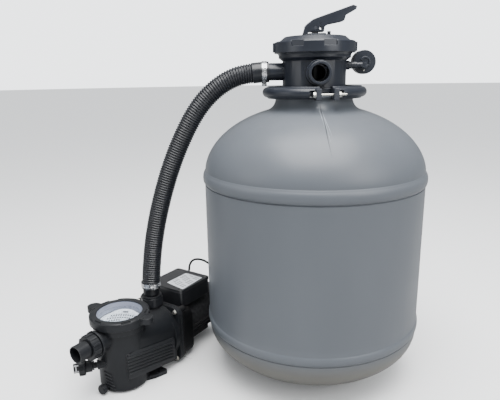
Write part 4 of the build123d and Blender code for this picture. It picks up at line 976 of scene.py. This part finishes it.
# ---- tank --------------------------------------------------------------------------------------
@dataclass
class Tank:
    """Blow-moulded filter tank with two belts, a dished foot and a domed top."""

    radius: float = 0.2705
    wall: float = 0.005
    dish_z: float = 0.130
    dish_h: float = 0.125
    dome_z: float = 0.520
    dome_h: float = 0.169
    low_belt: Point = (0.1375, 0.1585)
    top_belt: Point = (0.5015, 0.5280)
    neck: float = 0.093
    neck_bore: float = 0.080
    lip: float = 0.100
    top: float = 0.715
    lip_h: float = 0.009
    base_bore: float = 0.080
    shoulder: float = 0.116
    steps: int = 256
    crease_azimuth: float = -81.3
    # Witness line tubes: name, finish, offset beside the crease in degrees, width, first and last share of the
    # line. The dark tube is painted shade in the crease; the pale tubes are painted highlights.
    marks: tuple = (
        ("mould_crease_shade", "painted_crease_shade", 0.0, 0.0010, 0.0, 1.0),
        ("crease_lip_highlight", "painted_crease_highlight", 0.9, 0.0012, 0.1, 0.8),
        ("left_crease_highlight", "painted_crease_highlight", -2.4, 0.0011, 0.05, 0.55),
        ("right_crease_highlight", "painted_crease_highlight", 2.3, 0.0009, 0.3, 0.7),
    )

    def outside(self) -> list[Point]:
        """Outer line from the foot's flat up to the lip."""
        flat = math.acos(self.base_bore / self.radius)
        sweep = [flat * (1 - i / 24) for i in range(24)]
        line = [(self.radius * math.cos(a), self.dish_z - self.dish_h * math.sin(a)) for a in sweep]
        line = [(0.0, line[0][1])] + line
        line += [(self.radius, self.dish_z)]
        line += self.bulge(*self.low_belt, 0.0034)
        line += [(self.radius, self.low_belt[1] + 0.02 + 0.030 * i) for i in range(11)]
        line += self.bulge(*self.top_belt, 0.0044)
        start = math.asin((self.top_belt[1] + 0.0045 - self.dome_z) / self.dome_h)
        end = math.acos(self.shoulder / self.radius)
        for i in range(40):
            a = start + (end - start) * i / 39
            dip = 0.0009 * math.exp(-i / 2.0)
            line.append(((self.radius - dip) * math.cos(a), self.dome_z + self.dome_h * math.sin(a)))
        foot = Vector(line[-1])
        bend, neck = Vector((0.0968, 0.6775)), Vector((self.neck, 0.697))
        for i in range(1, 11):
            t = i / 10
            line.append(tuple((1 - t) ** 2 * foot + 2 * t * (1 - t) * bend + t * t * neck))
        lip = self.top - self.lip_h
        line += [(self.neck, lip - 0.001), (self.neck + 0.001, lip), (self.lip, lip), (self.lip, self.top)]
        return line

    def bulge(self, low: float, high: float, proud: float) -> list[Point]:
        """Belt with a tight step at its lower and upper edge and a full, rounded face."""
        height = high - low
        shape = ((-0.13, 0.0), (-0.09, -0.34), (-0.03, -0.40), (0.0, 0.1), (0.05, 0.46), (0.14, 0.74), (0.28, 0.93),
                 (0.45, 1.0), (0.62, 0.96), (0.77, 0.83), (0.89, 0.58), (0.97, 0.3), (1.02, 0.1), (1.08, 0.0))
        return [(self.radius + proud * out, low + height * up) for up, out in shape]

    def inside(self) -> list[Point]:
        """Inner line from the lip's bore down to the floor."""
        half, rise, drop = self.radius - self.wall, self.dome_h - self.wall, self.dish_h - self.wall
        end = math.acos(self.neck_bore / half)
        line = [(self.neck_bore, self.top)]
        line += [(half * math.cos(end * (1 - i / 20)), self.dome_z + rise * math.sin(end * (1 - i / 20)))
                 for i in range(21)]
        line += [(half * math.cos(end * i / 20), self.dish_z - drop * math.sin(end * i / 20)) for i in range(21)]
        return line + [(0.0, line[-1][1])]

    def build(self, shop: Workshop) -> None:
        """Makes the shell with its drain spigot, and the witness line on the dome in painted shade and painted
        highlights.
        """
        former = Former().lathe(self.outside() + self.inside(), steps=self.steps)
        spigot = [(0.0075, 0.0), (0.0105, 0.0), (0.0105, 0.063), (0.0075, 0.063)]
        out = at(0, 0, 0.030) @ spin(190.0) @ at(0.152, 0, 0) @ Axis.X.turn()
        former.lathe(eased(spigot, 0.0008), out, 32)
        shell = shop.fit(former.piece("tank_moulding", 28), "tank_polyethylene", BODY)
        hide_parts("tank_shell")
        self.painted_witness_line(shop)

    def painted_witness_line(self, shop: Workshop) -> None:
        """Witness line where the mould halves met on the front of the dome: a dark tube in the crease that is
        painted shade, and pale tubes along and beside it that are painted highlights.
        """
        line = [p for p in self.outside() if 0.592 < p[1] < 0.69 and p[0] > self.neck]
        line.sort(key=lambda p: -p[1])
        for name, finish, beside, width, first, last in self.marks:
            path, radii = [], []
            for i, (r, z) in enumerate(line):
                share = i / (len(line) - 1)
                if not first <= share <= last:
                    continue
                wander = beside * (0.4 + 0.6 * share) + 0.5 * math.sin(7 * share + beside)
                a = math.radians(self.crease_azimuth + wander)
                sunk = r + 0.0003 - 0.5 * width
                fade = math.sin(math.pi * (0.12 + 0.85 * (share - first) / (last - first)))
                path.append(Vector((sunk * math.cos(a), sunk * math.sin(a), z)))
                radii.append(width * max(0.25, fade))
            former = Former().tube(path, radii, 10)
            shop.fit(former.piece(name, 60), finish, BODY)


# ---- valve -------------------------------------------------------------------------------------
@dataclass
class Valve:
    """Small pieces on the six-way valve: port collar, lever crest and gauge screw."""

    port_z: float = 0.7595
    port_r: float = 0.0245
    port_out: float = 0.112
    lever_half: float = 0.012

    def build(self, shop: Workshop) -> None:
        """Makes the valve's added pieces."""
        front = VALVE @ at(0, 0, self.port_z) @ Matrix.Rotation(math.pi / 2, 4, "X")
        collar = [(self.port_r - 0.0002, self.port_out - 0.006), (self.port_r + 0.0013, self.port_out - 0.0055),
                  (self.port_r + 0.0013, self.port_out - 0.001), (self.port_r - 0.0002, self.port_out - 0.0003)]
        former = Former().lathe(eased(collar, 0.0006), front, 64)
        shop.fit(former.piece("return_port_bead", 50), "valve_abs", BODY)
        self.crest(shop)
        self.gauge(shop)

    def crest(self, shop: Workshop) -> None:
        """Raised rims along both top edges of the lever, in a lighter grey that is a painted highlight."""
        top = [(-0.0242, 0.8635), (-0.0215, 0.8680), (-0.0125, 0.8745), (-0.006, 0.8792), (0.011, 0.8850),
               (0.034, 0.8926), (0.057, 0.8999), (0.075, 0.9060), (0.086, 0.9089)]
        former = Former()
        for side in (-1, 1):
            path = read_line([(x, side * (self.lever_half - 0.0013), z) for x, z in top], 0.003)
            former.tube([VALVE @ p for p in path], [0.0011] * len(path), 10)
        # The rims' lighter finish is a painted highlight.
        shop.fit(former.piece("lever_crest", 60), "painted_crest_highlight", "handle")

    def gauge(self, shop: Workshop) -> None:
        """Vent screw head on the back of the gauge."""
        back = VALVE @ at(0.119, 0.003, 0.783) @ Matrix.Rotation(math.pi / 2, 4, "X")
        former = Former()
        head = [(0.0, 0.0), (0.0022, 0.0), (0.0022, 0.0012), (0.0014, 0.0020), (0.0, 0.0021)]
        former.lathe(eased(head, 0.0003, 2), back @ at(-0.001, -0.019, 0.0018), 20)
        shop.fit(former.piece("gauge_vent_screw", 50), "plated_screw", BODY)


# ---- pump --------------------------------------------------------------------------------------
@dataclass
class StrainerPump:
    """Added pieces on the pump: basket screen, lid skirt, rating plate, ribbed cheeks and cock clip."""

    screen_r: float = 0.0485
    screen_z: float = 0.1615
    screen_tilt: float = 16.5
    screen_turn: float = 28.0
    hole_half: Point = (0.0027, 0.0019)
    hole_pitch: Point = (0.0088, 0.0061)
    row_sag: float = 5.0
    last_row: float = 0.030
    skirt: tuple = (0.0551, 0.1700, 0.1926)
    cheek_out: float = 0.0658
    cheek_turn: float = 7.35
    cheek_depth: float = 0.006
    ribs: int = 6
    label: tuple = ((0.1891, 0.0151), (0.2685, 0.0137), (0.2668, -0.0476), (0.1776, -0.0520))
    label_z: float = 0.1950

    def build(self, shop: Workshop) -> None:
        """Makes the pump's added pieces."""
        self.screen(shop)
        self.rating_plate(shop)
        self.cheeks(shop)
        self.cock_clip(shop)

    def cheeks(self, shop: Workshop) -> None:
        """Flat cheeks on both sides of the housing, each with long ribs that fall towards the flange."""
        outline = [(-0.070, 0.040), (-0.070, 0.104), (-0.052, 0.109), (0.078, 0.090), (0.078, 0.024), (0.0, 0.031)]
        for name, side in (("front_cheek", -1), ("rear_cheek", 1)):
            upright = Matrix.Rotation(math.pi / 2, 4, "X")
            flat = PUMP @ at(0.033, side * self.cheek_out, 0) @ spin(side * self.cheek_turn) @ upright
            inward = flat @ at(0, 0, -self.cheek_depth if side < 0 else 0)
            former = Former().prism(eased(outline, 0.008, 4), self.cheek_depth, inward, 0.0012)
            for i in range(self.ribs):
                bar = flat @ at(0, 0.0896 - 0.0087 * i, 0) @ spin(-8.4)
                former.block((0.144, 0.0034, 0.0056), bar, 0.0009)
            shop.fit(former.piece(name, 40), "pump_polypropylene", BODY)

    def cock_clip(self, shop: Workshop) -> None:
        """Plated spring clip and screw on the sampling cock's wing."""
        tip = PUMP @ at(-0.056, 0, 0.078) @ spin(140) @ Axis.X.turn()
        former = Former()
        peg = eased([(0.0, 0.060), (0.0034, 0.060), (0.0034, 0.0738), (0.0, 0.0738)], 0.0008)
        for x in (-0.008, 0.008):
            former.lathe(peg, tip @ at(x, 0, 0), 20)
        former.block((0.022, 0.0062, 0.003), tip @ at(0, 0, 0.0690), 0.0006)
        shop.fit(former.piece("cock_spring_clip", 40), "clamp_stainless", "cock")

    def screen(self, shop: Workshop) -> None:
        """Perforated white plate with a finger slot over its dark mesh, and the lid's skirt round it."""
        tilt = Matrix.Rotation(math.radians(-self.screen_tilt), 4, "Y")
        place = PUMP @ at(0, 0, self.screen_z) @ spin(self.screen_turn) @ tilt
        plate = Former().lathe(eased([(0.0, 0.0), (self.screen_r, 0.0), (self.screen_r, 0.0016), (0.0, 0.0016)],
                                     0.0004), place, 96).piece("basket_screen", 30)
        cutter = Former()
        deep, wide = self.hole_half
        hole = eased([(-deep, -wide), (deep, -wide), (deep, wide), (-deep, wide)], 0.0008, 3)
        for i in range(-5, 4):
            for j in range(-7, 8):
                y = j * self.hole_pitch[1]
                x = i * self.hole_pitch[0] - self.row_sag * y * y
                if math.hypot(x, y) < self.screen_r - 0.007 and x < self.last_row:
                    cutter.prism(hole, 0.006, place @ at(x, y, -0.002))
        slot = eased([(0.0350, -0.009), (0.0400, -0.009), (0.0400, 0.006), (0.0350, 0.006)], 0.0018, 4)
        cutter.prism(slot, 0.006, place @ at(0, 0, -0.002))
        tool = cutter.piece("screen_cutter")
        cut = plate.modifiers.new("holes", "BOOLEAN")
        cut.object = tool
        cut.solver = "EXACT"
        bpy.context.view_layer.update()
        done = bpy.data.meshes.new_from_object(plate.evaluated_get(bpy.context.evaluated_depsgraph_get()))
        plate.modifiers.clear()
        plate.data = done
        bpy.data.objects.remove(tool)
        log.info("screen has %d faces", len(done.polygons))
        shop.fit(plate, "white_polypropylene", "basket")
        mesh = Former().lathe([(0.0, -0.0015), (self.screen_r - 0.002, -0.0015), (self.screen_r - 0.002, -0.0003),
                               (0.0, -0.0003)], place, 96)
        shop.fit(mesh.piece("screen_mesh", 30), "seal_rubber", "basket")
        wide, low, high = self.skirt
        skirt = eased([(wide - 0.0011, low), (wide, low), (wide, high), (wide - 0.0011, high)], 0.0004)
        skirt_ring = Former().lathe(skirt, PUMP, 96).piece("lid_skirt", 40)
        shop.fit(skirt_ring, "lid_skirt_polycarbonate", "lid")

    def rating_plate(self, shop: Workshop) -> None:
        """Blank white rating plate with ruled boxes on the terminal box lid."""
        plate = Former().prism(eased(self.label, 0.002, 3), 0.0003, PUMP @ at(0, 0, self.label_z), 0.00008)
        shop.fit(plate.piece("rating_plate", 30), "label_film", BODY)
        rules = Former()
        a, b, c, d = (Vector(p) for p in self.label)
        top = PUMP @ at(0, 0, self.label_z + 0.0003)
        for i in range(9):
            along = 0.12 + 0.095 * i
            for start, end in ((0.08, 0.30), (0.36, 0.58), (0.64, 0.92)):
                if (i * 3 + int(start * 10)) % 4 == 0:
                    continue
                near, far = a.lerp(b, along), d.lerp(c, along)
                p, q = near.lerp(far, start), near.lerp(far, end)
                u = (b - a).normalized() * 0.0022
                rules.prism([tuple(p), tuple(p + u), tuple(q + u), tuple(q)], 0.0002, top)
        shop.fit(rules.piece("rating_plate_rules", 30), "label_print", BODY)


def main() -> None:
    """Builds the studio, the cords, the added pieces and the finishes, in that order."""
    logging.basicConfig(level=logging.INFO, format="%(name)s: %(message)s")
    Studio().build()
    shop = Workshop()
    FilterHose().build(shop)
    MainsLead().build(shop)
    Tank().build(shop)
    Valve().build(shop)
    StrainerPump().build(shop)
    shop.dress_frame()


if __name__ == "__main__":
    main()
